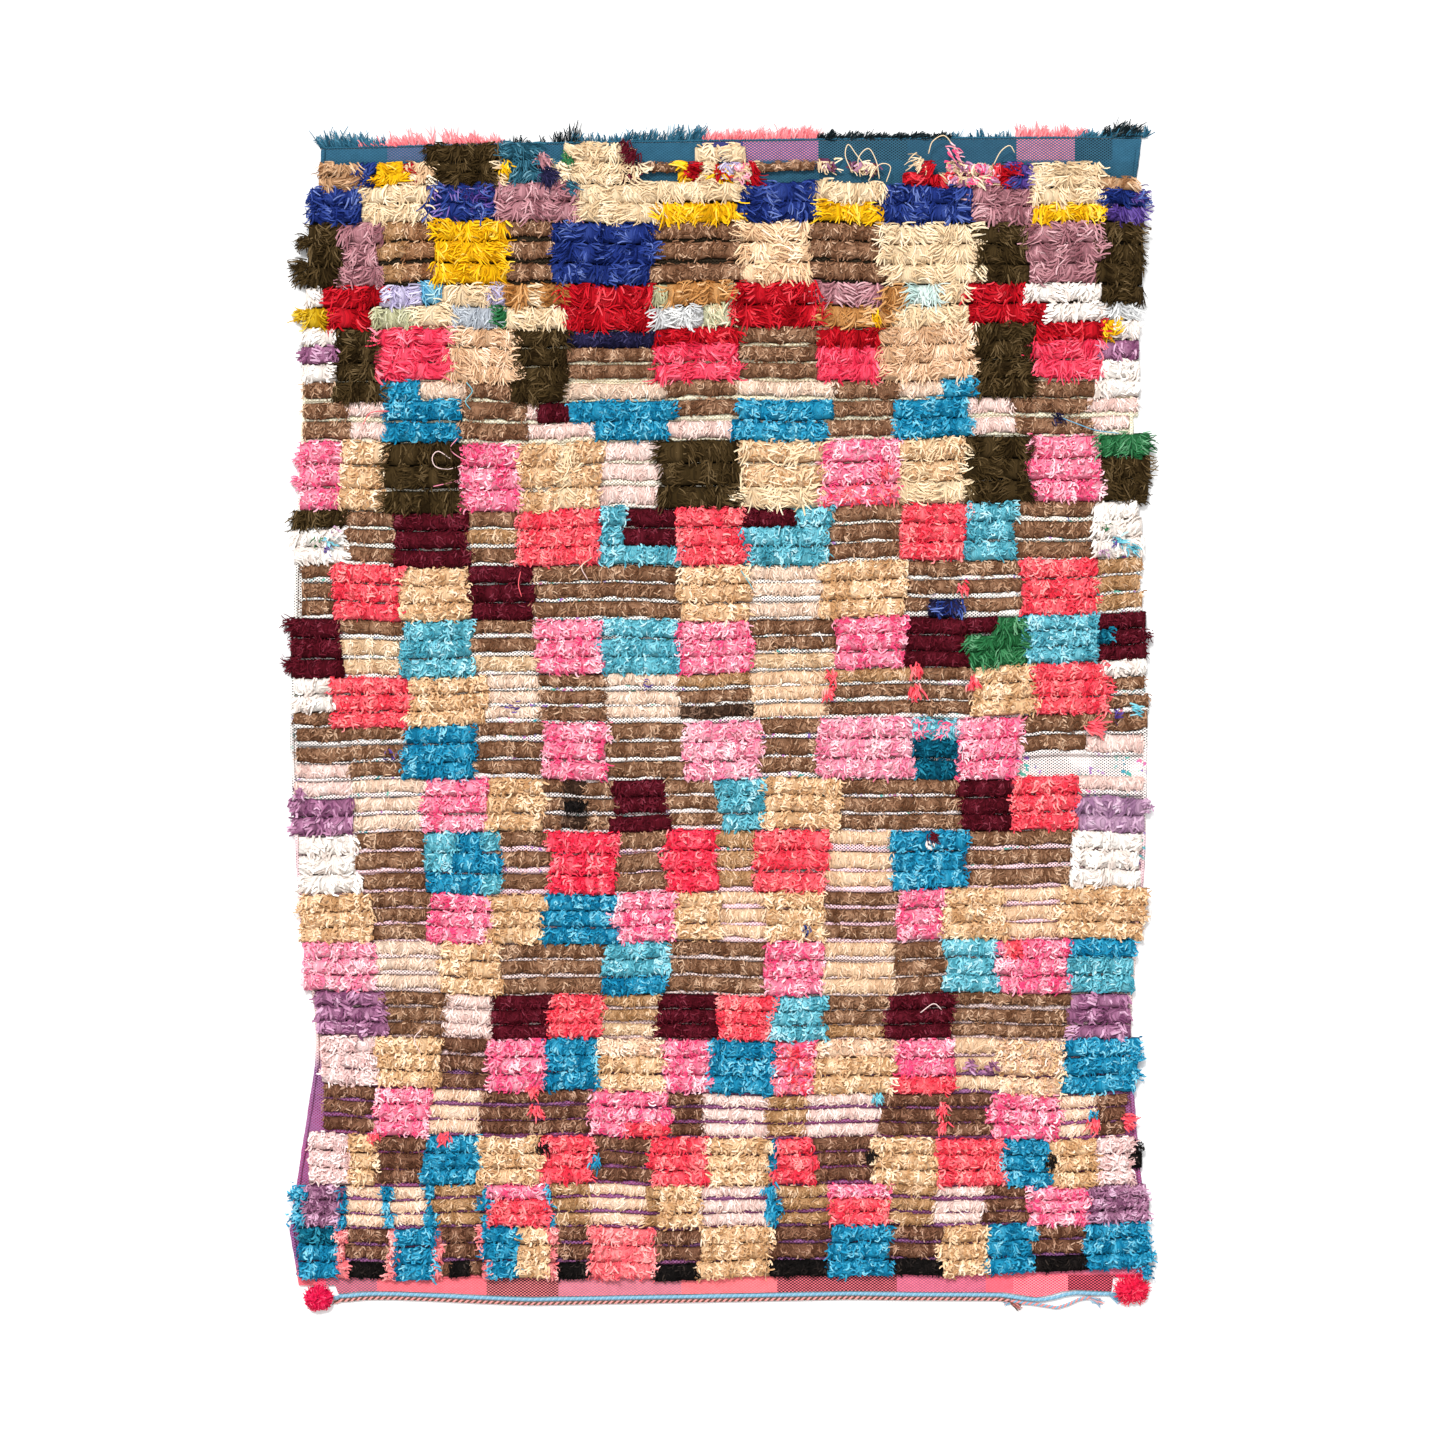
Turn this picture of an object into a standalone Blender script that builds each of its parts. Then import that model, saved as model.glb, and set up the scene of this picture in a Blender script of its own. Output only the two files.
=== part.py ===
"""Boucherouite rug: a hand-knotted rag rug lying flat on a floor.

The rug is one woven piece: a plain-woven ground, rows of knots that stand up as ridges, and a
flat-woven band at each end. Along its top end lies a short cut fringe, along its bottom end lie
two twined cords, and a bound tuft of yarn closes each bottom corner.

Places on the rug are given as a weaver would, in centimetres: "across" from the left-hand line
and "down" from the top hem. World axes: X across, Y up the rug, Z up from the floor.
"""

import math
import random
from collections import namedtuple

import bmesh
import bpy

# Driving sizes
CM = 0.01
CENTRE_ACROSS = 83.55
CENTRE_DOWN = 112.8
GROUND = 0.004
PILE = 0.014
GAP = 0.0003
SEED = 7

# Outline of the ground: its left and right edges, read down the rug, in cm
Edge = namedtuple("Edge", "down left right")
OUTLINE = (
    Edge(-3.0, 4.4, 168.4),
    Edge(7.4, 4.0, 167.0),
    Edge(14.4, 2.0, 167.6),
    Edge(36.0, 1.0, 166.6),
    Edge(58.0, 0.2, 166.6),
    Edge(86.0, -1.0, 168.0),
    Edge(118.0, -2.0, 169.4),
    Edge(142.0, -0.8, 169.0),
    Edge(158.0, 0.4, 167.4),
    Edge(172.0, 3.0, 166.2),
    Edge(182.0, 3.2, 166.2),
    Edge(200.0, 0.4, 167.6),
    Edge(216.0, -2.0, 169.4),
    Edge(232.0, 0.6, 169.4),
)

# Bands of blocks, top to bottom: how far down each begins at the rug's left edge, middle and right
# edge, its rows of knots, and how far its pile hangs past the ground at each side, in cm
Band = namedtuple("Band", "left middle right ridges lock_left lock_right")
BANDS = (
    Band(2.6, 2.6, 3.0, 2, 0.0, 0.0),
    Band(7.4, 6.4, 8.4, 2, 1.2, 1.2),
    Band(14.4, 14.4, 14.8, 3, 2.2, 1.4),
    Band(27.4, 26.6, 27.0, 2, 1.8, 0.0),
    Band(35.6, 35.8, 34.0, 3, 0.0, 0.0),
    Band(46.4, 46.2, 45.8, 3, 0.0, 0.0),
    Band(58.6, 58.2, 56.8, 3, 1.4, 2.8),
    Band(72.4, 71.6, 69.8, 3, 1.0, 0.0),
    Band(83.0, 83.0, 81.2, 3, 0.0, 0.6),
    Band(93.6, 94.0, 92.4, 3, 2.0, 1.2),
    Band(105.6, 104.4, 102.0, 3, 0.0, 0.0),
    Band(115.4, 114.2, 112.4, 3, 0.0, 0.0),
    Band(125.8, 125.8, 125.4, 3, 0.8, 0.6),
    Band(136.8, 136.0, 136.4, 3, 0.0, 0.0),
    Band(148.6, 148.4, 147.0, 3, 0.8, 0.9),
    Band(158.4, 158.4, 157.6, 3, 0.0, 1.0),
    Band(168.0, 169.0, 168.4, 3, 0.0, 0.0),
    Band(177.0, 177.8, 177.6, 3, 0.0, 1.2),
    Band(186.6, 188.6, 188.4, 3, 0.0, 0.0),
    Band(196.4, 197.4, 197.4, 3, 0.0, 0.8),
    Band(207.0, 206.8, 207.2, 3, 0.9, 0.0),
    Band(215.4, 215.2, 214.4, 3, 0.0, 1.0),
)
PILE_END = (225.4, 225.6, 223.6)
TOP_HEM = (0.0, -1.6, -2.2)

# Bottom hem, read across the rug, in cm. At both corners the cloth is cut back where a tuft of
# yarn is bound on, and near the right-hand corner it bulges.
HemPoint = namedtuple("HemPoint", "across down")
BOTTOM_HEM = (
    HemPoint(-0.2, 227.0),
    HemPoint(7.2, 227.0),
    HemPoint(7.6, 228.7),
    HemPoint(12.0, 228.2),
    HemPoint(20.0, 228.2),
    HemPoint(28.0, 228.5),
    HemPoint(36.0, 228.9),
    HemPoint(46.0, 229.3),
    HemPoint(58.0, 229.1),
    HemPoint(68.0, 228.9),
    HemPoint(90.0, 228.5),
    HemPoint(110.0, 228.1),
    HemPoint(122.0, 228.3),
    HemPoint(141.0, 228.4),
    HemPoint(144.4, 228.9),
    HemPoint(147.2, 229.4),
    HemPoint(150.0, 228.9),
    HemPoint(152.4, 228.2),
    HemPoint(155.0, 227.9),
    HemPoint(162.2, 228.2),
    HemPoint(162.6, 225.4),
    HemPoint(169.2, 225.4),
)

# Shares of the width at which the cloth has a column of points
COLUMNS = (0.0, 0.02, 0.05, 0.14, 0.24, 0.34, 0.44, 0.54, 0.64, 0.74, 0.84, 0.94, 0.98, 1.0)
# A row of knots in section: how far through the row, and how much of the pile's height
RIDGE_SECTION = ((0.0, 0.0), (0.28, 0.95), (0.72, 1.0))
LUMP_LOW = 0.72
LUMP_HIGH = 1.15
LOCK_RIM = 0.55

# Side locks, as shares of the lock's reach and of its root's size
LOCK_MIDDLE_REACH = 0.55
LOCK_MIDDLE_SIZE = 0.75
LOCK_TIP_SIZE = 0.25
LOCK_SHORTEST = 0.7
LOCK_LONGEST = 1.1

# Fringe
STRIP_WIDTH = 0.006
FRINGE_THICK = 0.0035
FRINGE_TIP = 0.0012
STRAND_PITCH = 0.019
STRAND_SHARE = 0.62
STRAND_SHORTEST = 0.6
STRAND_LONGEST = 1.15
STRAND_WANDER = 0.15
STRAND_TAPER = 0.3
FringeRun = namedtuple("FringeRun", "start end length lean")
FRINGE_RUNS = (
    FringeRun(4.4, 17.0, 0.040, -0.35),
    FringeRun(17.0, 40.5, 0.024, -0.25),
    FringeRun(40.5, 55.0, 0.018, 0.10),
    FringeRun(55.0, 81.0, 0.026, 0.15),
    FringeRun(81.0, 103.0, 0.022, 0.05),
    FringeRun(103.0, 129.0, 0.015, 0.35),
    FringeRun(129.0, 143.0, 0.011, -0.10),
    FringeRun(143.0, 155.0, 0.024, 0.30),
    FringeRun(155.0, 168.5, 0.032, 0.55),
)

# Twined end cords: radius and the depth of the loop in metres, start and end across the rug in cm
Cord = namedtuple("Cord", "name radius start end sag")
INNER_CORD = Cord("end_cord_inner", 0.0045, 7.9, 162.0, 0.0)
OUTER_CORD = Cord("end_cord_outer", 0.0038, 7.9, 158.0, 0.014)
CORD_STEP = 2.2
CORD_GAP = 0.0007
CORD_SIDES_RESOLUTION = 2
# Where the outer cord hangs in a loop, across the rug in cm
SAG_CENTRE = 152.4
SAG_HALF_WIDTH = 5.4

# Corner tufts: centre across in cm, the hem that each is bound to, and half sizes in metres
Tuft = namedtuple("Tuft", "name across hem half_x half_y height")
TUFTS = (
    Tuft("corner_tuft_left", 3.8, 227.0, 0.033, 0.0275, 0.022),
    Tuft("corner_tuft_right", 166.3, 225.4, 0.035, 0.0255, 0.022),
)
TUFT_LUMP = 0.10
TUFT_WAVES = 4
TUFT_SLOWEST_WAVE = 2.0
TUFT_FASTEST_WAVE = 5.0
TUFT_CENTRE_HEIGHT = 0.3

Row = namedtuple("Row", "levels rise ridge lock_left lock_right")


def world_x(across):
    return (across - CENTRE_ACROSS) * CM


def world_y(down):
    return (CENTRE_DOWN - down) * CM


def between(table, at, key, value):
    """Straight-line reading of one column of a table against another."""
    for low, high in zip(table, table[1:]):
        if at <= high[key]:
            share = (at - low[key]) / (high[key] - low[key])
            return low[value] + (high[value] - low[value]) * max(share, 0.0)
    return table[-1][value]


def bowed(levels, share):
    """Reads a line given at the rug's left edge, middle and right edge."""
    left, middle, right = levels
    return (
        left * (1 - share) * (1 - 2 * share)
        + middle * 4 * share * (1 - share)
        + right * share * (2 * share - 1)
    )


def clear_scene():
    for thing in list(bpy.data.objects):
        bpy.data.objects.remove(thing)


def material(name, colour, roughness):
    made = bpy.data.materials.new(name)
    made.use_nodes = True
    shader = made.node_tree.nodes["Principled BSDF"]
    shader.inputs["Base Color"].default_value = (*colour, 1.0)
    shader.inputs["Roughness"].default_value = roughness
    shader.inputs["Metallic"].default_value = 0.0
    return made


def add_object(name, data, finish):
    data.materials.append(finish)
    made = bpy.data.objects.new(name, data)
    bpy.context.scene.collection.objects.link(made)
    return made


def finish_mesh(mesh_maker, name):
    """Turns a bmesh into a mesh whose faces point out."""
    bmesh.ops.recalc_face_normals(mesh_maker, faces=mesh_maker.faces)
    data = bpy.data.meshes.new(name)
    mesh_maker.to_mesh(data)
    mesh_maker.free()
    return data


def cloth_rows():
    """Every line of points across the rug, from the top hem to the end of the pile."""
    rows = [Row(TOP_HEM, 0.0, None, 0.0, 0.0)]
    ends = [(band.left, band.middle, band.right) for band in BANDS[1:]] + [PILE_END]
    ridge = 0
    for band, end in zip(BANDS, ends):
        start = (band.left, band.middle, band.right)
        for number in range(band.ridges):
            for through, rise in RIDGE_SECTION:
                part = (number + through) / band.ridges
                levels = tuple(a + (b - a) * part for a, b in zip(start, end))
                rows.append(Row(levels, rise, ridge, band.lock_left, band.lock_right))
            ridge += 1
    rows.append(Row(PILE_END, 0.0, None, 0.0, 0.0))
    return rows


def cloth_point(down, share, height):
    left = between(OUTLINE, down, 0, 1)
    right = between(OUTLINE, down, 0, 2)
    return world_x(left + (right - left) * share), world_y(down), height


def row_heights(row, lumps):
    """Height of the cloth at each column of one row."""
    heights = []
    last = len(COLUMNS) - 1
    for column in range(len(COLUMNS)):
        pile = PILE * row.rise
        if row.ridge is not None:
            pile *= lumps[row.ridge][column]
        if column == 0:
            pile *= LOCK_RIM if row.lock_left else 0.0
        if column == last:
            pile *= LOCK_RIM if row.lock_right else 0.0
        heights.append(GROUND + pile)
    return heights


def add_lock(mesh_maker, root, reach):
    """One lock of pile: root is its four corners on the rim, top pair first. It lies on the floor."""
    middle_y = (root[0].co.y + root[1].co.y) / 2
    rings = [root]
    for out, size in ((LOCK_MIDDLE_REACH, LOCK_MIDDLE_SIZE), (1.0, LOCK_TIP_SIZE)):
        ring = [
            mesh_maker.verts.new(
                (
                    corner.co.x + reach * out,
                    middle_y + (corner.co.y - middle_y) * size,
                    corner.co.z * size,
                )
            )
            for corner in root
        ]
        rings.append(ring)
    for inner, outer in zip(rings, rings[1:]):
        for k in range(4):
            n = (k + 1) % 4
            mesh_maker.faces.new((inner[k], inner[n], outer[n], outer[k]))
    mesh_maker.faces.new(rings[-1])


def build_rug(finish):
    """The cloth: ground, ridges of knots, flat-woven ends and the locks along both sides."""
    chance = random.Random(SEED)
    rows = cloth_rows()
    ridge_count = sum(band.ridges for band in BANDS)
    lumps = [[chance.uniform(LUMP_LOW, LUMP_HIGH) for _ in COLUMNS] for _ in range(ridge_count)]
    work = bmesh.new()
    top = []
    for row in rows:
        heights = row_heights(row, lumps)
        line = []
        for share, height in zip(COLUMNS, heights):
            point = cloth_point(bowed(row.levels, share), share, height)
            line.append(work.verts.new(point))
        top.append(line)
    hem = [
        work.verts.new((world_x(point.across), world_y(point.down), GROUND)) for point in BOTTOM_HEM
    ]
    top.append(hem)
    left = [work.verts.new((line[0].co.x, line[0].co.y, 0.0)) for line in top]
    right = [work.verts.new((line[-1].co.x, line[-1].co.y, 0.0)) for line in top]
    first = [left[0], *(work.verts.new((v.co.x, v.co.y, 0.0)) for v in top[0][1:-1]), right[0]]
    final = [left[-1], *(work.verts.new((v.co.x, v.co.y, 0.0)) for v in top[-1][1:-1]), right[-1]]
    for upper, lower in zip(top[:-1], top[1:-1]):
        for k in range(len(COLUMNS) - 1):
            work.faces.new((upper[k], lower[k], lower[k + 1], upper[k + 1]))
    work.faces.new((*top[-2], *reversed(hem)))
    for line, floor in ((top[0], first), (hem, final)):
        for k in range(len(line) - 1):
            work.faces.new((line[k], line[k + 1], floor[k + 1], floor[k]))
    last = len(top) - 1
    for n, row in enumerate(rows):
        crest = n + 1 < len(rows) and row.rise > 0 and rows[n + 1].rise > 0
        for edge, floor, side, reach in (
            (0, left, -1, row.lock_left),
            (-1, right, 1, row.lock_right),
        ):
            root = (top[n][edge], top[n + 1][edge], floor[n + 1], floor[n])
            if crest and reach:
                add_lock(work, root, side * reach * CM * chance.uniform(LOCK_SHORTEST, LOCK_LONGEST))
            else:
                work.faces.new(root)
    work.faces.new((*first, right[1], left[1]))
    for n in range(1, last - 1):
        work.faces.new((left[n], right[n], right[n + 1], left[n + 1]))
    work.faces.new((left[last - 1], right[last - 1], *reversed(final)))
    return add_object("rug", finish_mesh(work, "rug"), finish)


def top_hem_y(across):
    """The top hem as the cloth's own straight stretches run, in metres."""
    points = []
    for share in COLUMNS:
        x, y, _ = cloth_point(bowed(TOP_HEM, share), share, 0.0)
        points.append((x, y))
    return between(points, world_x(across), 0, 1)


def fringe_stations():
    """Places along the strip: where a strand begins, with its run, and where it ends, with none."""
    stations = []
    for run in FRINGE_RUNS:
        count = max(1, round((run.end - run.start) * CM / STRAND_PITCH))
        pitch = (run.end - run.start) / count
        for n in range(count):
            start = run.start + n * pitch
            stations.append((start, run))
            stations.append((start + pitch * STRAND_SHARE, None))
    return stations


def build_fringe(finish):
    """A narrow strip beside the top hem, with the cut ends of the warp standing apart from it."""
    chance = random.Random(SEED + 1)
    stations = fringe_stations()
    end = FRINGE_RUNS[-1].end - STRAND_PITCH / CM * (1 - STRAND_SHARE)
    stations = [station for station in stations if station[0] <= end]
    work = bmesh.new()
    rings = []
    for across, _ in stations:
        x = world_x(across)
        y = top_hem_y(across) + GAP
        ring = [
            work.verts.new((x, y, FRINGE_THICK)),
            work.verts.new((x, y, 0.0)),
            work.verts.new((x, y + STRIP_WIDTH, 0.0)),
            work.verts.new((x, y + STRIP_WIDTH, FRINGE_THICK)),
        ]
        rings.append(ring)
    for (_, run), ring, following in zip(stations, rings, rings[1:]):
        for k in range(4):
            n = (k + 1) % 4
            if k == 2 and run:
                add_strand(work, (ring[2], ring[3], following[3], following[2]), run, chance)
            else:
                work.faces.new((ring[k], ring[n], following[n], following[k]))
    work.faces.new(rings[0])
    work.faces.new(rings[-1])
    return add_object("top_fringe", finish_mesh(work, "top_fringe"), finish)


def add_strand(mesh_maker, root, run, chance):
    """One cut end, lying on the floor from the strip to its tip."""
    length = run.length * chance.uniform(STRAND_SHORTEST, STRAND_LONGEST)
    lean = length * (run.lean + chance.uniform(-STRAND_WANDER, STRAND_WANDER))
    centre_x = sum(corner.co.x for corner in root) / 4
    tip = []
    for corner in root:
        x = centre_x + (corner.co.x - centre_x) * STRAND_TAPER + lean
        z = FRINGE_TIP if corner.co.z > 0 else 0.0
        tip.append(mesh_maker.verts.new((x, corner.co.y + length, z)))
    for k in range(4):
        n = (k + 1) % 4
        mesh_maker.faces.new((root[k], root[n], tip[n], tip[k]))
    mesh_maker.faces.new(tip)


def cord_sag(across, depth):
    """How far a cord hangs away from its place beside the hem."""
    offset = (across - SAG_CENTRE) / SAG_HALF_WIDTH
    if abs(offset) >= 1:
        return 0.0
    return depth * (0.5 + 0.5 * math.cos(math.pi * offset))


def hem_down(across):
    """How far down a cord lies there: as far as the hem does within half a step of its points."""
    places = []
    for offset in (-CORD_STEP / 2, 0.0, CORD_STEP / 2):
        places.append(min(max(across + offset, INNER_CORD.start), INNER_CORD.end))
    return max(between(BOTTOM_HEM, place, 0, 1) for place in places)


def build_cord(cord, away, finish):
    """One cord lying along the bottom hem, away being the distance from the hem to its middle."""
    count = round((cord.end - cord.start) / CORD_STEP)
    curve = bpy.data.curves.new(cord.name, "CURVE")
    curve.dimensions = "3D"
    curve.bevel_depth = cord.radius
    curve.bevel_resolution = CORD_SIDES_RESOLUTION
    curve.use_fill_caps = True
    line = curve.splines.new("POLY")
    line.points.add(count)
    for n, point in enumerate(line.points):
        across = cord.start + (cord.end - cord.start) * n / count
        y = world_y(hem_down(across)) - away - cord_sag(across, cord.sag)
        point.co = (world_x(across), y, cord.radius, 1.0)
    return add_object(cord.name, curve, finish)


def build_tuft(tuft, finish):
    """A bound tuft of yarn, round and lumpy, flat where it lies on the floor, against the hem."""
    chance = random.Random(SEED + len(tuft.name))
    work = bmesh.new()
    bmesh.ops.create_icosphere(work, subdivisions=3, radius=1.0)
    waves = [
        (
            chance.uniform(TUFT_SLOWEST_WAVE, TUFT_FASTEST_WAVE),
            chance.uniform(TUFT_SLOWEST_WAVE, TUFT_FASTEST_WAVE),
            chance.uniform(0, math.tau),
        )
        for _ in range(TUFT_WAVES)
    ]
    for vert in work.verts:
        bump = sum(math.sin(a * vert.co.x + b * vert.co.y + c) for a, b, c in waves) / TUFT_WAVES
        size = 1 - TUFT_LUMP + TUFT_LUMP * bump
        vert.co.x = world_x(tuft.across) + vert.co.x * size * tuft.half_x
        vert.co.y = vert.co.y * size * tuft.half_y
        rise = TUFT_CENTRE_HEIGHT + (1 - TUFT_CENTRE_HEIGHT) * vert.co.z * size
        vert.co.z = max(0.0, tuft.height * rise)
    top_edge = max(vert.co.y for vert in work.verts)
    for vert in work.verts:
        vert.co.y += world_y(tuft.hem) - GAP - top_edge
    return add_object(tuft.name, finish_mesh(work, tuft.name), finish)


def main():
    clear_scene()
    pile = material("pile", (0.62, 0.38, 0.36), 0.95)
    fringe = material("fringe", (0.10, 0.30, 0.38), 0.95)
    blue_cord = material("blue_cord", (0.38, 0.60, 0.72), 0.9)
    brown_cord = material("brown_cord", (0.45, 0.27, 0.25), 0.9)
    red_yarn = material("red_yarn", (0.85, 0.10, 0.25), 0.95)
    build_rug(pile)
    build_fringe(fringe)
    inner_away = CORD_GAP + INNER_CORD.radius
    outer_away = inner_away + INNER_CORD.radius + GAP + OUTER_CORD.radius
    build_cord(INNER_CORD, inner_away, blue_cord)
    build_cord(OUTER_CORD, outer_away, brown_cord)
    for tuft in TUFTS:
        build_tuft(tuft, red_yarn)


main()
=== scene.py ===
"""Looks of the boucherouite rug: its woven ground, its pile in every yarn, and its finished ends.

Places on the rug are in centimetres, as on a weaver's chart: "across" from the left-hand line and
"down" from the top hem. Everything else is in metres. The pile is rows of knots, each a closed
mound, under a coat of fine strips, each laid along its own path over the row. A strip's place on
its material's colour card is kept in the UV map OFBake: u picks the yarn and its shade, v runs from
root to tip. A table is text with a line for each row, under its columns' names, and a colour in it
is a screen colour written #rrggbb.
"""

import math
from collections import namedtuple

import bpy
import numpy as np
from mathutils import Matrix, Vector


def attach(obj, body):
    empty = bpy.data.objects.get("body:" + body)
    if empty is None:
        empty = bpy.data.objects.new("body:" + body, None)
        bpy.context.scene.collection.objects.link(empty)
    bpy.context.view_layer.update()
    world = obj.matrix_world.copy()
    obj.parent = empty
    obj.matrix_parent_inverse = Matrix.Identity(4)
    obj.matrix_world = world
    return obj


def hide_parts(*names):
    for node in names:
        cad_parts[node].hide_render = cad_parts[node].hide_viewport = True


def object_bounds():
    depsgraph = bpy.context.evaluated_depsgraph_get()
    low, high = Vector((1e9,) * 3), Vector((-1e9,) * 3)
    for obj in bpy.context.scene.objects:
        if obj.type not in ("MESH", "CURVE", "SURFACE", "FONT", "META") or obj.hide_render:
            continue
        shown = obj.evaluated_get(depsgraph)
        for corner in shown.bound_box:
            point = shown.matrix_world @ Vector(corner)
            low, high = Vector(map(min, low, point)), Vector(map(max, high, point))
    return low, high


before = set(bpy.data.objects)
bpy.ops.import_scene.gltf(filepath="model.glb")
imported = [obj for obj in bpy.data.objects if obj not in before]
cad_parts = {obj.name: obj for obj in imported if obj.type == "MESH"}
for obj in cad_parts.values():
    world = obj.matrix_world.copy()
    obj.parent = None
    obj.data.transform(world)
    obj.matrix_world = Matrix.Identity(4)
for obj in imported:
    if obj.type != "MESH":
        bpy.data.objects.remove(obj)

CAD_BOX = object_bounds()
TOP_LIMIT = CAD_BOX[1][1] + 0.004
BOTTOM_LIMIT = CAD_BOX[0][1] - 0.004
UV_NAME = "OFBake"
SEED = 20
SEED_LIMIT = 1 << 30
TINY = 1e-9


def read_word(word):
    """A number, a colour or a name from a table."""
    if word.startswith("#"):
        return tuple(bytes.fromhex(word[1:]))
    return float(word) if word[0] in "-0123456789" else word


def table(columns, text):
    """The rows of a table, with its columns' names."""
    row = namedtuple("Row", columns)
    return [row(*map(read_word, line.split())) for line in text.strip().splitlines()]


def read_band(text):
    """A band of the weaver's chart: its sizes, and the blocks of each of its rows."""
    head, rows = text.split(":")
    blocks = [[block.split() for block in row.split(",")] for row in rows.split(";")]
    return Band(*map(float, head.split()), blocks)


# Driving sizes, the same as the part's own
CM = 0.01
CENTRE_ACROSS = 83.55
CENTRE_DOWN = 112.8
GROUND = 0.004

# Outline of the ground: its left and right edges, read down the rug, in cm
OUTLINE = table("down left right", """
-3.0 4.4 168.4
7.4 4.0 167.0
14.4 2.0 167.6
36.0 1.0 166.6
58.0 0.2 166.6
86.0 -1.0 168.0
118.0 -2.0 169.4
142.0 -0.8 169.0
158.0 0.4 167.4
172.0 3.0 166.2
182.0 3.2 166.2
200.0 0.4 167.6
216.0 -2.0 169.4
232.0 0.6 169.4
""")
TOP_HEM = (0.0, -1.6, -2.2)
PILE_END = (225.4, 225.6, 223.6)
BOTTOM_HEM = table("across down", """
-0.2 227.0
7.2 227.0
7.6 228.7
12.0 228.2
20.0 228.2
28.0 228.5
36.0 228.9
46.0 229.3
58.0 229.1
68.0 228.9
90.0 228.5
110.0 228.1
122.0 228.3
141.0 228.4
144.4 228.9
147.2 229.4
150.0 228.9
152.4 228.2
155.0 227.9
162.2 228.2
162.6 225.4
169.2 225.4
""")
HEM_ACROSS = [place.across for place in BOTTOM_HEM]
HEM_DOWN = [place.down for place in BOTTOM_HEM]

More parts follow.
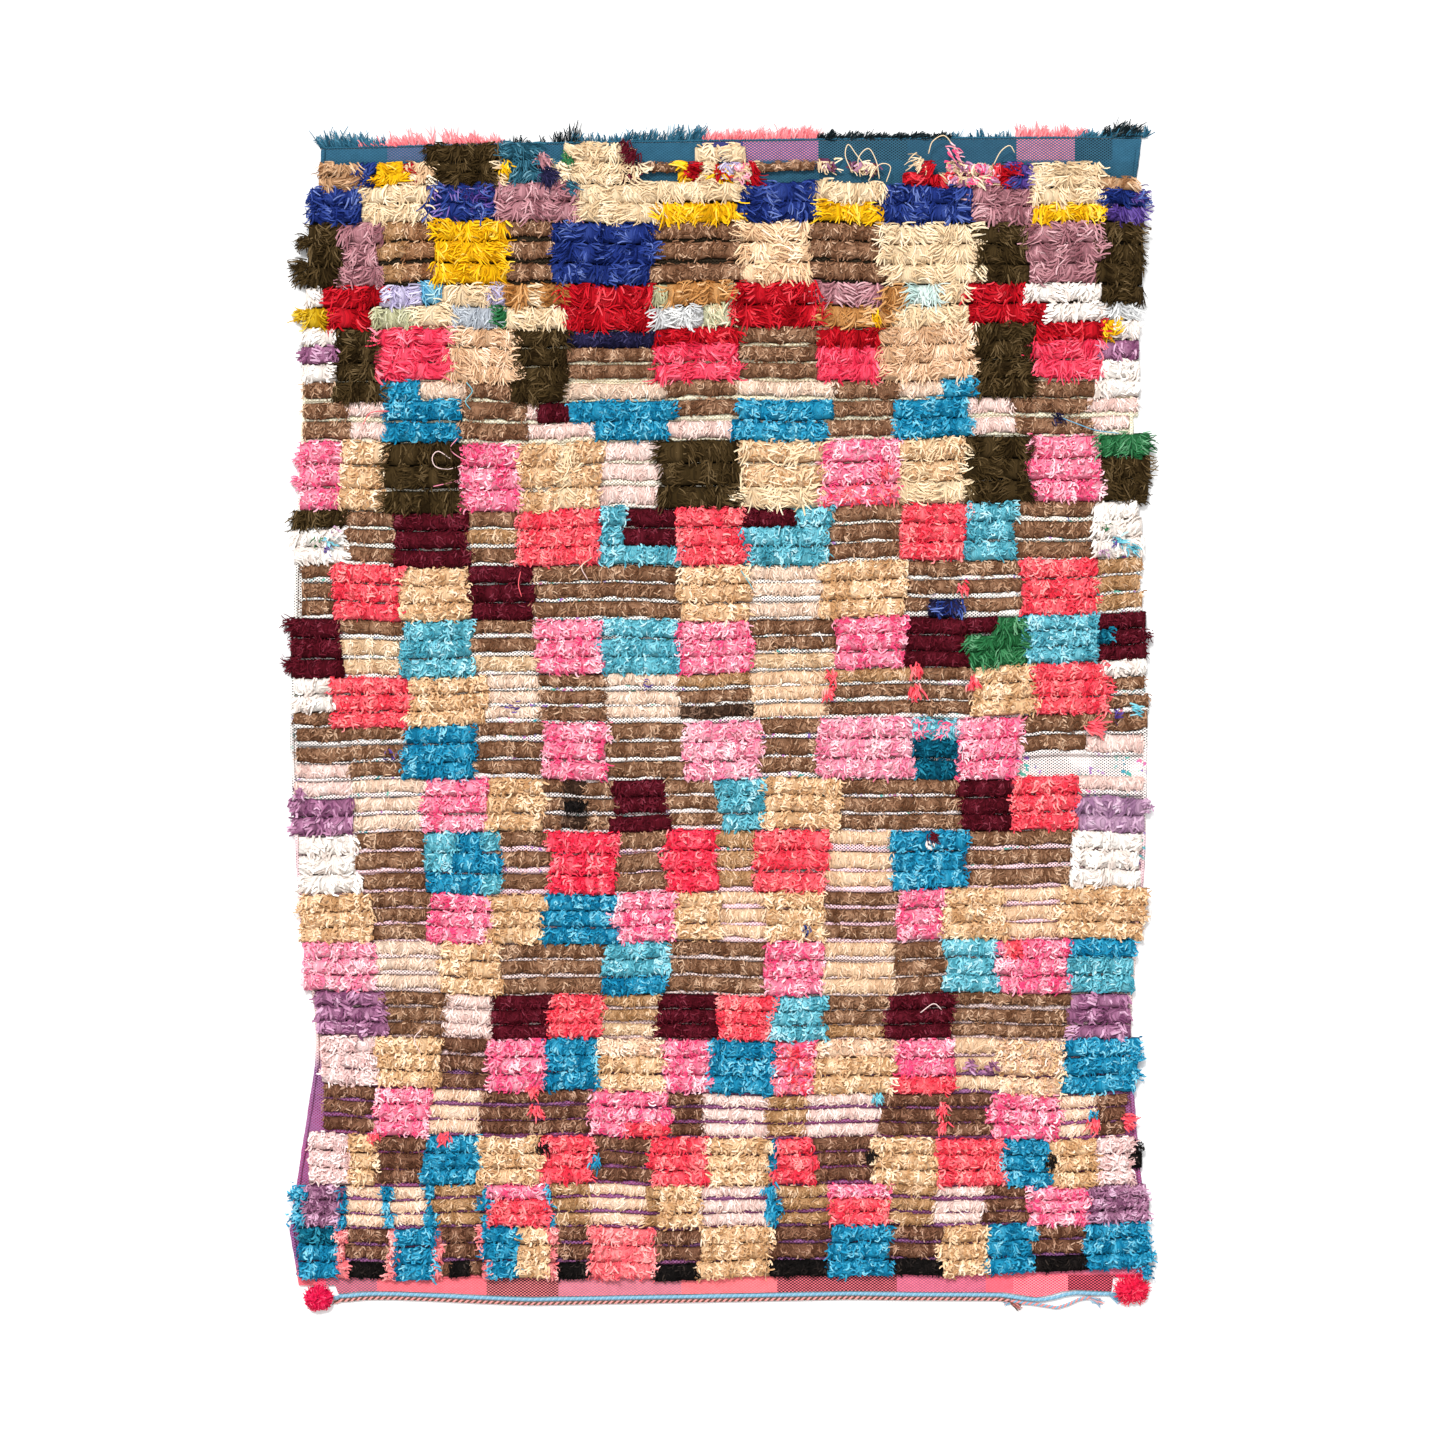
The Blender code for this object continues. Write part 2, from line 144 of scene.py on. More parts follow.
# The weaver's chart. Each band says how far down it begins at the left edge, middle and right edge,
# how many rows of knots it has, where its first block begins, and its blocks from left to right:
# the yarn, and how far across its block ends. "a/b/c" names a yarn for each row of the band, "a+b"
# is two yarns mixed, "-" is bare ground, and ";" begins the band's next row.
Band = namedtuple("Band", "left middle right rows across blocks")
CHART = """
-0.4 -0.9 -0.4 1 4.0:
- 25.8, olive 40.2, - 41, teal 47.4, - 53, cream 65.4, - 79.6, cream 83, - 85, cream 89, - 168

2.6 2.6 3.0 2 4.0:
tanyarn 12, royal 15.6, yellow 21.4, red+cream 23.6, peach 26, olive 40, yellow+cream 41.5, teal 48,
navy+teal 51, cream 65, maroon+cream 68.4, brown/- 76, yellow 78, red 79.6, cream 83, red+yellow 85,
lavender 87, cream+candy 89.5, red 91.5, brown/- 103, - 103.6, cream+maroon+purple/- 107, - 110,
cream+purple+maroon/- 115, - 121, -/red 129, cream+candy+purple 139, red 142, violet+royal 146,
cream 160, -/tanyarn 167

7.4 6.4 8.4 2 2.4:
royal 12.4, cream 25.6, royal+royal+violet 39.4, mauve 55.6, cream 71.6, cream/yellow 87.8, royal 103.2,
cream/yellow 116.8, royal 134.4, mauve 146, cream/yellow 161, royal/violet 168.6

14.4 14.4 14.8 3 2.0:
olive 8, mauve 16.2, tan 21, browntan 27, yellow 40.8, brown 51, royal 70.4, brown 88.2, peach 101.8,
brown 116.8, cream 135.4, olive 145.6, mauve 159.8, olive 168.6

27.4 26.6 27.0 2 1.4:
white 4.8, red 16.2, lavender 24, skyyarn 28.6, cream 37.6, lavender+cream 41.6, camel 45, cream 47,
camel 51.8, red 70.2, sage 73.4, camel 86, sage 87.4, red 104, mauve 117, camel 122, aqua 128,
cream 133.4, red 145, white 160, olive 168;
mustard 5, red 15, sage 22.8, cream 29.8, greyblue 39.8, green 41, cream 53.4, red 70.8, palegrey 81,
sage+cream 86.4, red 105, camel 114, yellow 116, camel 118, cream 134, red 150, white 161,
palegrey 167.4

35.6 35.8 34.0 3 0.6:
white/purple/white 7, olive 15.4, rose 29.8, peachshag 43.6, olive 53, navy/brown/brown 71,
red/rose/rose 87.2, brown 103.4, red/rose/rose 116, peachshag 134.8, olive 146.8, red/rose/rose 160.4,
yellow/purple/white 163.6, white/purple/white 167.4

46.4 46.2 45.8 3 0.8:
brown 7, olive 17, azure 23.6, peachlow 33.4, brown 42.2, olive 52, peachlow 73.6, brown 87,
peachlow 107, brown 120, peachlow 129, azure 135, olive 146, brown 159, white 167.4;
brown 9.4, pinklow 17.2, azure 32, brown 45.2, pinklow 47.4, maroon 53.4, azure 75.6, brown 87.6,
azure 107, brown 119.2, azure 133.8, pinklow 143, brown 158, pinklow 167;
brown 10, pinklow 17, azure 31.8, brown 45.4, pinklow 59, azure 74, pinklow 87, azure 105.8,
brown 119.2, azure 134.4, pinklow 142.6, brown 158, pinklow 166

58.6 58.2 56.8 3 0.2:
candy 8, sand 17, olive 32, candy 44, sand 51, cream+sand 56, sand 60.2, pinklow 72, olive 87.4,
sand+cream/sand+cream/cream 104, candy/candy/candy+coral 119.6, sand+cream/sand+cream/cream 132.8,
olive 145.6, candy 160, green/olive/olive 169.6

72.4 71.6 69.8 3 -1.0:
olive/white/white 9, brown 19, maroon 33.8, brown/tan/brown 44.2, coral 60, sky 65,
maroon/maroon/sky 75.6, coral 89, maroon/sky/sky 99, sky 106, brown 120, coral 133.2, sky 143,
brown 159, white 168

83.0 83.0 81.2 3 0.6:
brown 7.2, coral 20, sand 34, maroon 47, brown 76, sand 90, peachlow 104, sand 121, brown 126,
brown/brown/navy+royal 132, brown 143.8, coral 159.6, tan 168

93.6 94.0 92.4 3 -1.6:
maroon 8.4, brown/beige/beige 20.4, sky 34.8, brown/brown/beige 47.4, candy 60.4, sky 75.8, candy 90,
brown/brown/beige 107, candy 121.2, maroon 133.2, maroon/green/green 139, green 145, sky 159.4,
maroon/deepteal/maroon 162.6, maroon 169

105.6 104.4 102.0 3 -1.0:
white/white/brown 7, coral 21.8, sand 37.2, peachlow 48, brown 61, peachlow 76, tan/brown/darkbrown 90,
beigelow 105.6, tan/brown/brown 122.8, brown 134.6, sand 147, coral 161.6, white/brown/brown 169

115.4 114.2 112.4 3 -0.4:
brown/brown/pinklow 10, brown 21, azure 35, brown 48.6, candy 61.6, brown 76.8, lightcandy 91.8,
brown 104, lightcandy 122.6, sky+candy/deepteal/deepteal 131, candy 143.6, brown/brown/- 157.6,
brown/pinklow/- 169

125.8 125.8 125.4 3 -1.0:
pinklow/purple/purple 10.8, peachlow 25, candy 37.4, sand 49, brown 53, darkbrown 57, brown 62.4,
maroon 73.6, brown 84, sky 92.6, sand 108, brown 131.6, maroon 142.2, coral 156, pinklow/lilac/lilac 169

136.8 136.0 136.4 3 0.0:
white 11.6, brown 25.6, sky/sky/azure 31, azure 36, sky/azure/sky 40, brown 50, hotcoral 63.4,
brown 73.2, hotcoral 83.4, tan 91.4, coral 105.4, beigelow 118, azure 133, brown 153.8, white 168

148.6 148.4 147.0 3 0.4:
sand 14.8, brown 26, candy 38, sand 49, azure 63, candy 75.2, sand 84.2, beigelow 93, sand 105,
brown 119.6, candy 128.6, sand 141, beigelow 152, sand 168.6

158.4 158.4 157.6 3 1.0:
lightcandy 15.4, peachlow 28, sand 40.4, brown 61, sky/sky/azure 73.4, brown 92.8, candy 104.4,
beigelow 118.8, brown 129, sky 139.4, candy 141.6, coral/candy/candy 144, candy 153.8,
azure/sky/sky 166.8

168.0 169.0 168.4 3 3.6:
purple 17, brown 28.6, pinklow 38.4, maroon 50.2, coral 60.4, tan/tan/beige 71.4, maroon 83.4,
coral 94.6, sky 105, brown/brown/tan 117.4, maroon 130.4, brown 153.8, purple 165.6

177.0 177.8 177.6 3 4.6:
pinkrag 15.4, sand 28, umber 37.6, candy 49.2, azure 59.8, creamrag/sand/sand 73, candy 82, azure 95.2,
candy+coral 103, creamrag/sand/sand 119, candy/candy/coral 131, beigelow 139.4, creamrag+sand 153,
azure 167.2

186.6 188.6 188.4 3 5.0:
umber 14.6, candy 26.2, creamlow 36.2, umber 58, candy 65, candy/candy/coral 73.8, umber 80.8,
pinklow 93.8, tan 101, pinklow 115.8, umber 138, candy 151.4, creamlow 159.4, umber 165

196.4 197.4 197.4 3 2.0:
pinkrag 10, sand 15.4, umber 25, azure 35.8, sand 48.6, coral 58.6, umber 70.4, coral 81.6, sand 93.8,
azure 95, coral 103, umber 114.6, sand 127.6, coral 140.8, azure 149.6, sand 159.6, pinkrag 166.2,
-/black/- 168.2

207.0 206.8 207.2 3 -0.8:
azure 1.4, purplerag 7.6, azure 9.0, creamlow 17, azure 18.2, creamlow 25.8, azure 27.0, tan 36.6,
azure 37.8, candy/coral/coral 49.4, azure 50.4, tan 58, creamlow 68.8, tan 71.8, sand 80, pinklow 93.8,
azure 95.4, tan 106, candy/coral/coral 118, tan 127, pinklow 136.8, umber 145.8, candy 157.8,
purplerag 169

215.4 215.2 214.4 3 0.0:
deepteal/azure/azure 7.2, salmon 9.2, umber/umber/black 17.4, salmon 19, azure 26.8, salmon 28.2,
umber 30, umber/umber/black 33.6, umber 36.2, salmon 37.4, azure 43.4, sand 50, salmon 51.2,
umber/umber/black 58, lightcoral 71.4, umber/umber/black 79.8, sand 94.2, umber/umber/black 106,
azure 117.6, umber/umber/black 128.2, sand 137, azure 146.8, umber/umber/black 157, azure 169.6
"""
BANDS = [read_band(text) for text in CHART.strip().split("\n\n")]

# How each kind of pile is made. Strips: how many a metre of row, their length and width, and their
# points. The row: its height, how far a strip stands off it, and how much of its pitch it fills.
# Knots: how wide one is in cm, how far its strips draw together, how unevenly the knots stand, and
# how much their shades differ. The lie of the strips, in radians from straight down the rug: how
# much a knot's strips vary, how much knots vary, how much neighbours lean together, how much they
# fan out at a block's sides, and how much they curl. Then how much each strip's shade varies, how
# far they reach past the row's lower edge, how unevenly, how much darker they are painted there as
# shade in the crease, and how round the row is in section. Lengths are in metres.
Kind = namedtuple(
    "Kind",
    "per_metre length width points height loft fill tuft pinch clump tone"
    " vary turn lean fan curl spread over edge crease roundness",
)
KINDS = {
    "wool": Kind(
        1290, 0.0112, 0.0026, 3, 0.0112, 0.0024, 0.91, 0.8, 0.2, 0.0010, 0.26,
        0.75, 0.45, 0.3, 0.1, 0.9, 0.20, 1.01, 0.08, 0.17, 0.32,
    ),
    "low": Kind(
        1080, 0.0120, 0.0027, 3, 0.0098, 0.0018, 0.88, 0.8, 0.2, 0.0008, 0.12,
        0.45, 0.35, 0.2, 0.0, 0.6, 0.17, 1.01, 0.07, 0.16, 0.34,
    ),
    "velvet": Kind(
        1450, 0.0105, 0.0027, 3, 0.0140, 0.0020, 0.97, 0.9, 0.3, 0.0012, 0.14,
        0.80, 0.60, 0.1, 0.2, 0.9, 0.16, 1.06, 0.07, 0.14, 0.34,
    ),
    "rag": Kind(
        1400, 0.0140, 0.0035, 4, 0.0136, 0.0046, 0.98, 1.1, 0.5, 0.0026, 0.20,
        0.80, 1.00, 0.3, 0.3, 2.8, 0.21, 1.16, 0.17, 0.10, 0.28,
    ),
    "yarn": Kind(
        1220, 0.0225, 0.0031, 4, 0.0132, 0.0042, 0.98, 1.2, 0.6, 0.0030, 0.17,
        0.24, 0.55, 2.4, 0.4, 0.8, 0.17, 1.22, 0.16, 0.06, 0.20,
    ),
    "fleece": Kind(
        1500, 0.0190, 0.0026, 3, 0.0140, 0.0042, 1.0, 1.2, 0.5, 0.0028, 0.17,
        0.30, 0.70, 1.6, 0.7, 0.8, 0.15, 1.36, 0.20, 0.03, 0.16,
    ),
    "lump": Kind(
        1000, 0.0170, 0.0046, 3, 0.0138, 0.0036, 0.96, 1.5, 0.8, 0.0030, 0.20,
        0.35, 0.85, 0.5, 0.2, 0.8, 0.23, 1.08, 0.10, 0.20, 0.30,
    ),
}

# Yarns: the piece of pile each belongs to, its kind, and its shades from dark to light. The dark
# shade serves both for the yarn's own darker strands and for the painted shade of roots, knot edges
# and creases. The last shade is the fleck that a few strands have.
YARN_ROWS = table("name piece kind dark main light fleck", """
brown pile_brown wool #5a3824 #8e664c #b28a6d #d4b194
umber pile_brown wool #4c2c1e #7a523e #9a7058 #c49e86
browntan pile_tan wool #76482c #9e704e #be926e #dcb694
tan pile_tan wool #8c623c #ba8e64 #d4ac86 #eaccac
darkbrown pile_tan wool #2e1e16 #4a3428 #684e3e #8c6e5c
tanyarn pile_tan yarn #865a38 #ba8e68 #d6ae88 #ecceae
beige pile_tan wool #be9872 #e0be98 #f0d6b6 #fae8d0
olive pile_dark fleece #1c1103 #3a2c15 #544228 #746042
green pile_dark fleece #0e3c1c #286c3e #488a5c #78b086
deepteal pile_dark rag #02364c #085870 #16748e #3c94aa
teal pile_dark fleece #143a4a #285a6e #42788c #749eac
maroon pile_dark velvet #320208 #520d1a #681e2c #863c4a
navy pile_dark velvet #0e0e22 #1e1c3a #343054 #545076
black pile_dark velvet #060505 #120f0e #241e1c #403630
coral pile_coral rag #de263c #f95a68 #ff7c80 #ffa8a4
hotcoral pile_coral rag #de1838 #f7425c #ff6a78 #ff9ca0
lightcoral pile_coral rag #e85260 #fa7e82 #ff9e9c #ffc6c0
salmon pile_coral rag #e26068 #f68e90 #ffaca6 #ffccc4
red pile_coral yarn #800008 #b80e1c #d22432 #ee545c
rose pile_coral yarn #c81c3a #f24460 #fd687e #ff98a8
candy pile_candy rag #e63c70 #f68ca6 #feb8c6 #ffdee4
lightcandy pile_candy rag #e86e92 #f8acbc #feccd4 #ffe8ea
azure pile_blue rag #035e84 #208eb5 #52b0ce #8cd0e2
sky pile_blue rag #328498 #66b8c8 #92d6e4 #c6eaf0
skyyarn pile_blue yarn #2c76a4 #58a0c4 #86c2d4 #bedee2
royal pile_blue yarn #071448 #203278 #3e529a #7284c0
sand pile_sand rag #ba8a5c #e8be92 #f8d8b2 #ffecd0
camel pile_sand yarn #885020 #c0864c #dca870 #f0ca9a
yellow pile_sand yarn #be8404 #f4ba0e #ffce2a #ffe068
mustard pile_sand yarn #9e7000 #caa014 #e2be38 #f0d66e
cream pile_cream yarn #d0b28a #f2d7b0 #fae4c1 #feeed2
creamrag pile_cream rag #d2a282 #f2ceae #fee4ca #fff2e2
creamlow pile_cream low #d4aa8a #f2d0b4 #fce2ce #fff0e2
peach pile_cream yarn #cea47c #f2cea5 #fde2be #fff0d8
peachshag pile_cream fleece #be9068 #e8be98 #fadab8 #ffecd4
peachlow pile_cream low #caa890 #eed0b8 #fae4d2 #fff2e4
beigelow pile_cream low #c29874 #e8c4a0 #f8dabc #ffecd6
pinklow pile_pale low #d4aea4 #f2d4ca #fce6de #fff2ec
pinkrag pile_pale rag #d4a8a4 #f4d4cf #fee8e4 #fff4f0
white pile_pale lump #e0d0c6 #faf1e9 #fffaf4 #fffefc
palegrey pile_pale yarn #aaaaac #d2d2d2 #e6e6e4 #f4f4f2
aqua pile_pale yarn #a4c0ba #cce0da #e0eee8 #f0f8f4
sage pile_pale yarn #92906a #c2c09a #d8d6b8 #eae8d2
purple pile_purple lump #663456 #a0688a #c48eae #deb4ce
purplerag pile_purple rag #683858 #a26e8c #c694b0 #deb8d0
lilac pile_purple lump #865e80 #b890ac #d0acc4 #e6ccde
mauve pile_purple yarn #78464e #ac747c #ca949a #e2b8bc
violet pile_purple yarn #301c5c #563e8a #765ea8 #a08cc8
lavender pile_purple yarn #9488b0 #c4bad8 #d8d0e8 #eae4f4
edgeteal fringe yarn #163a4c #2a5c74 #427890 #689aae
edgesalmon fringe yarn #de5c68 #f6868c #fda6a8 #ffc4c2
edgeblack fringe yarn #040a0c #101a1e #222e32 #424e52
innerblue cord_inner yarn #3a708c #6aa0bc #90bed4 #b8d8e6
innerpale cord_inner yarn #5488a2 #86b6ce #a6ccde #c6e0ec
outersalmon cord_outer yarn #b2605c #e2908a #f2aca6 #fcc8c2
outerbrown cord_outer yarn #34241e #584034 #765a4c #987c6c
outerblue cord_outer yarn #3a708c #6aa0bc #90bed4 #b8d8e6
tuftpink tuft_left yarn #960228 #da0e42 #f03462 #ff708e
tuftred tuft_right yarn #9e0422 #e2163e #f43e5c #ff7a88
greyblue pile_purple yarn #8a909a #b8bec6 #ced4da #e2e6ea
""")
YARNS = {yarn.name: yarn for yarn in YARN_ROWS}
# A yarn's part of its card: where its four shades are, how wide a strand is on it, where most
# strands are, and the margins kept free at its two ends
SHADE_STOPS = (0.08, 0.42, 0.74, 0.95)
SHADE_WIDTH = 0.010
SHADE_MIDDLE = 0.47
SHADE_MARGINS = (0.01, 0.02)

# Waves along a row: the size of each, and how fast it turns
WAVES = ((0.5, 3.1), (0.3, 7.3), (0.2, 13.7))

# Strips: how narrow their tips are, how their length varies, where on the row their roots are,
# how much they roll about their own length, how far above the row they reach and how high they
# stand at most, where on the card their roots are, in its painted root shade, how much lighter a
# strip grows to its tip, as painted shade at the root and painted light at the tip, and how much
# lighter the topmost strips are than the lowest, as painted shade on the lower strips
TIP_WIDTH = 0.65
LENGTH_LOW = 0.65
LENGTH_HIGH = 1.30
ROOT_FROM = -0.04
ROOT_TO = 0.86
ROLL = 0.55
EDGE_ABOVE = 0.002
STRIP_LIMIT = 0.0285
STRIP_ROOT = 0.30
TIP_PAINTED_LIGHT = 0.20
LAYER_PAINTED_SHADE = 0.34
# Also how their widths and heights vary, where along a strip its own shade is, where its curl turns
# it neither way, how much of its curl and reach is its own or its knot's, and how knots slant
STRIP_WIDTHS = (0.75, 1.25)
STRIP_HEIGHTS = (0.94, 1.06)
SHADE_AT = 0.7
CURL_AT = 0.3
OWN_SHARE = 0.6
KNOT_SHARE = 0.8
KNOT_SLANT = 0.35
KNOT_ROOT = 0.4
# The coat: how far through the row strips are read, how its loft grows from the lowest strips to
# the topmost and humps along each, and how a knot's clump is limited and rounded
ROW_INSIDE = (0.03, 0.95)
LOFT_LEAST = 0.2
LOFT_LAYER = 0.5
LOFT_HUMP = 1.1
HUMP_TURN = 0.8
CLUMP_LIMIT = 1.6
CLUMP_ROUND = 3.0
# The first rows and the last: how far their strips fall over the outer side, as a share of the row,
# how soon they are down, and how high over the ground they end, in metres
RIM_SHARE = 0.14
RIM_DROP = 0.006
RIM_REST = 0.001
# Painted shade: how much darker strips are between two knots, and where a row is darker in the
# creases at its low and top edges: from how far through the row and over how much of it, and how
# much less at the top
KNOT_GAP_SHADE = 0.14
CREASE_LOW = 0.74
CREASE_LOW_OVER = 0.2
CREASE_TOP = 0.16
CREASE_TOP_OVER = 0.12
CREASE_TOP_SHARE = 0.5
# Blocks: how far their sides wander, at most what share of the block, how far they overlap, the
# fewest strips in one, how far from a side strips fan out, how far the rows wave up and down, how
# slowly the strips' lie and shade change along a row, in cm, how much that shade changes, and how
# much the gap below a row comes and goes
BLOCK_WANDER_CM = 0.60
WANDER_SHARE = 0.3
FEWEST_STRIPS = 8
BLOCK_OVERLAP_CM = 0.12
FAN_CM = 0.9
ROW_WAVE_CM = 0.24
ROW_SHIFT_CM = 0.13
# The rows' waves: the size of each, and its length across and down in cm
ROW_WAVES = ((1.0, 9.7, 17.0), (0.6, 4.3, -23.0), (0.3, 1.7, 1.0))
# The strips' lie and shade, and the gap below a row
LIE_CM = 5.4
SHADE_CM = 3.8
SHADE_WAVE = 0.14
GAP_WAVE = 0.11
# Where the low rows of wool leave more of the ground bare: cm down the rug, the share they cover,
# and how much that share varies. Rows that reach less than TIGHT_ROW are low ones.
OPEN_DOWN = (60.0, 74.0, 104.0, 130.0, 150.0, 166.0)
OPEN_SHARE = (0.99, 0.95, 0.92, 0.92, 0.96, 0.98)
OPEN_VARY = 0.12
TIGHT_ROW = 1.02
TIGHT_WAVE = 0.05
# Knots: their width along the row in cm, the row's section and where it leaves the ground, how
# uneven they are and their upper and lower sides, the part of the card from the row's edges to
# its crest, low on the card so that the knots under the strips are in painted shade, how much
# darker its edges are painted as shade, how high its two ends are, and how its shade varies
KNOT_CM = 1.1
CORE_SECTION = (0.0, 0.10, 0.36, 0.68, 0.92, 1.0)
CORE_FOOT = 0.05
CORE_LUMP = 0.14
CORE_UNEVEN = 0.0006
CORE_UPPER = (-1.0, 0.4)
CORE_LOWER = (-1.4, 1.0)
CORE_DARK = 0.04
CORE_LIGHT = 0.22
CORE_EDGE_SHADE = 0.40
CORE_END = 0.7
CORE_SPREAD = 0.08
# How dark a card is painted at the root, as shade, and how far up it is lighter. Streaks of single
# yarns: how fine they are across and along a strand on its card, their levels, how strong they are
# on the knots and on the strips, and how far up the strips the change goes
ROOT_SHADE_GAIN = 0.55
ROOT_SHADE_END = 0.40
STREAKS = (260.0, 3.0, 0.0)
STREAK_LEVELS = (0.36, 0.62, -1.0, 0.7)
CORE_STREAK = 0.34
STRIP_STREAK = 0.10
STREAK_END = STRIP_ROOT + 0.1
CLOTH_ROUGHNESS = 0.95
CLOTH_SHINE = 0.08

# Small tufts of another colour: where they are in cm, which way they point in radians from straight
# down the rug (left is below 0), how long they are in cm, their strips, and whether they lie on the
# pile or reach past the rug's side to the floor
BITS = table("yarn across down heading length strips place", """
olive 1.6 18.4 -1.2 2.6 60 side
olive 1.2 23.4 -1.4 3.0 90 side
olive 1.0 25.4 -0.9 2.4 60 side
royal 3.0 9.4 -1.3 1.6 50 side
royal 3.2 11.8 -1.1 1.4 40 side
violet 167.6 9.4 1.3 1.6 50 side
olive 167.0 18.0 1.1 1.2 40 side
olive 167.2 23.6 1.2 1.4 50 side
mustard 1.0 33.0 -1.4 2.2 60 side
candy 0.8 62.0 -1.3 1.6 60 side
candy 0.6 66.4 -1.1 1.6 60 side
green 167.4 60.4 1.3 1.8 40 side
olive 167.4 65.6 1.4 2.8 90 side
olive 167.4 69.6 1.2 2.0 60 side
olive 0.2 74.2 -1.3 1.8 60 side
maroon -0.6 95.0 -1.4 2.4 80 side
maroon -0.6 98.6 -1.3 1.2 50 side
maroon -0.8 102.4 -1.3 2.4 80 side
maroon 169.0 97.0 1.3 0.8 50 side
purple -1.0 131.0 -1.2 1.0 30 side
lilac 169.0 131.0 1.2 0.9 30 side
sand 0.8 152.0 -1.2 1.2 40 side
sand 168.2 153.0 1.2 1.2 40 side
azure 166.8 181.0 1.2 1.4 50 side
azure 166.8 184.6 1.1 1.2 40 side
black 167.4 199.2 1.0 1.0 40 side
azure -0.8 208.6 -1.3 1.4 40 side
azure -0.6 213.0 -1.4 1.0 30 side
azure 169.4 221.0 1.3 1.2 50 side
azure 169.0 224.0 1.0 1.2 50 side
coral 117.0 64.2 0.2 1.2 26 pile
coral 132.6 87.2 0.3 1.8 16 pile
navy 151.2 53.2 1.0 1.5 24 pile
sky 163.4 78.2 1.2 1.8 16 pile
sky 166.2 79.6 0.9 1.6 14 pile
sky 6.0 78.6 1.0 1.4 10 pile
coral 106.2 104.6 0.0 1.4 26 pile
coral 105.8 108.4 0.1 1.6 26 pile
coral 123.4 103.6 0.0 2.0 30 pile
coral 123.0 107.6 0.1 2.4 34 pile
coral 134.6 106.4 0.2 1.8 30 pile
coral 158.0 115.2 1.4 3.0 50 pile
sky 166.4 111.8 1.4 1.8 14 pile
violet 163.0 113.2 1.4 1.6 8 pile
violet 69.2 107.2 1.5 0.9 10 pile
violet 42.4 111.4 1.5 1.2 8 pile
purple -0.2 128.2 0.2 1.6 30 pile
royal 101.0 155.4 0.0 0.9 14 pile
black 53.8 130.6 0.3 2.0 50 pile
black 56.4 130.8 -0.4 1.6 40 pile
maroon 126.2 137.2 0.8 1.8 26 pile
white 125.6 138.8 0.2 1.4 8 pile
maroon 64.2 127.4 -0.2 1.4 30 pile
coral 46.8 187.6 0.0 1.6 26 pile
coral 47.2 191.4 0.1 1.8 30 pile
coral 128.4 191.4 0.1 1.8 26 pile
coral 128.4 194.6 0.0 1.6 30 pile
coral 165.0 193.8 1.4 2.2 40 pile
coral 158.6 194.4 0.0 1.8 34 pile
azure 158.8 192.4 0.0 0.9 18 pile
coral 28.8 197.0 0.0 1.6 30 pile
coral 14.8 197.2 0.2 1.2 26 pile
sky 115.6 189.2 0.0 1.4 26 pile
black 48.6 198.8 0.2 1.8 40 pile
black 114.2 200.4 0.0 1.6 36 pile
black 150.2 202.0 0.0 1.6 36 pile
azure 59.0 201.8 0.0 1.6 26 pile
purple 133.6 183.0 1.3 1.6 16 pile
purple 137.6 183.0 1.3 2.0 20 pile
azure 93.8 207.6 0.0 2.0 30 pile
azure 94.4 211.6 0.0 2.0 30 pile
violet 18.0 121.0 0.3 1.0 10 pile
lilac 7.0 76.2 0.8 0.9 8 pile
green 3.4 78.0 -0.6 0.9 8 pile
violet 5.6 79.8 0.4 0.9 8 pile
green 161.0 75.4 0.8 0.9 8 pile
violet 163.6 78.4 -0.8 0.9 8 pile
lilac 160.4 80.0 0.4 0.9 8 pile
red 126.0 3.6 -0.7 2.4 60 pile
cream 124.2 2.4 -0.8 2.4 24 pile
candy 130.6 0.2 0.7 2.2 20 pile
maroon 65.4 -0.8 -0.3 1.8 40 pile
maroon 66.8 1.0 -0.7 2.4 50 pile
yellow 41.0 3.0 0.3 1.8 30 pile
navy 49.0 4.6 0.7 3.2 90 pile
green 53.4 1.6 0.3 2.2 24 pile
mauve 48.4 1.6 0.4 2.4 50 pile
teal 54.0 7.4 1.0 1.8 40 pile
""")
BIT_SPREAD_CM = 0.55
BIT_VARY = 0.42
BIT_POINTS = 4
BIT_CURL = 0.8
BIT_LENGTHS = (0.5, 1.15)
BIT_WIDTHS = (0.8, 1.2)
BIT_SINK = 0.002
BIT_SLOPE = 1.5
BIT_HUMP = 0.006
BIT_LAYER = 0.004
PILE_TOP = 0.0195
FLOOR_REST = 0.003

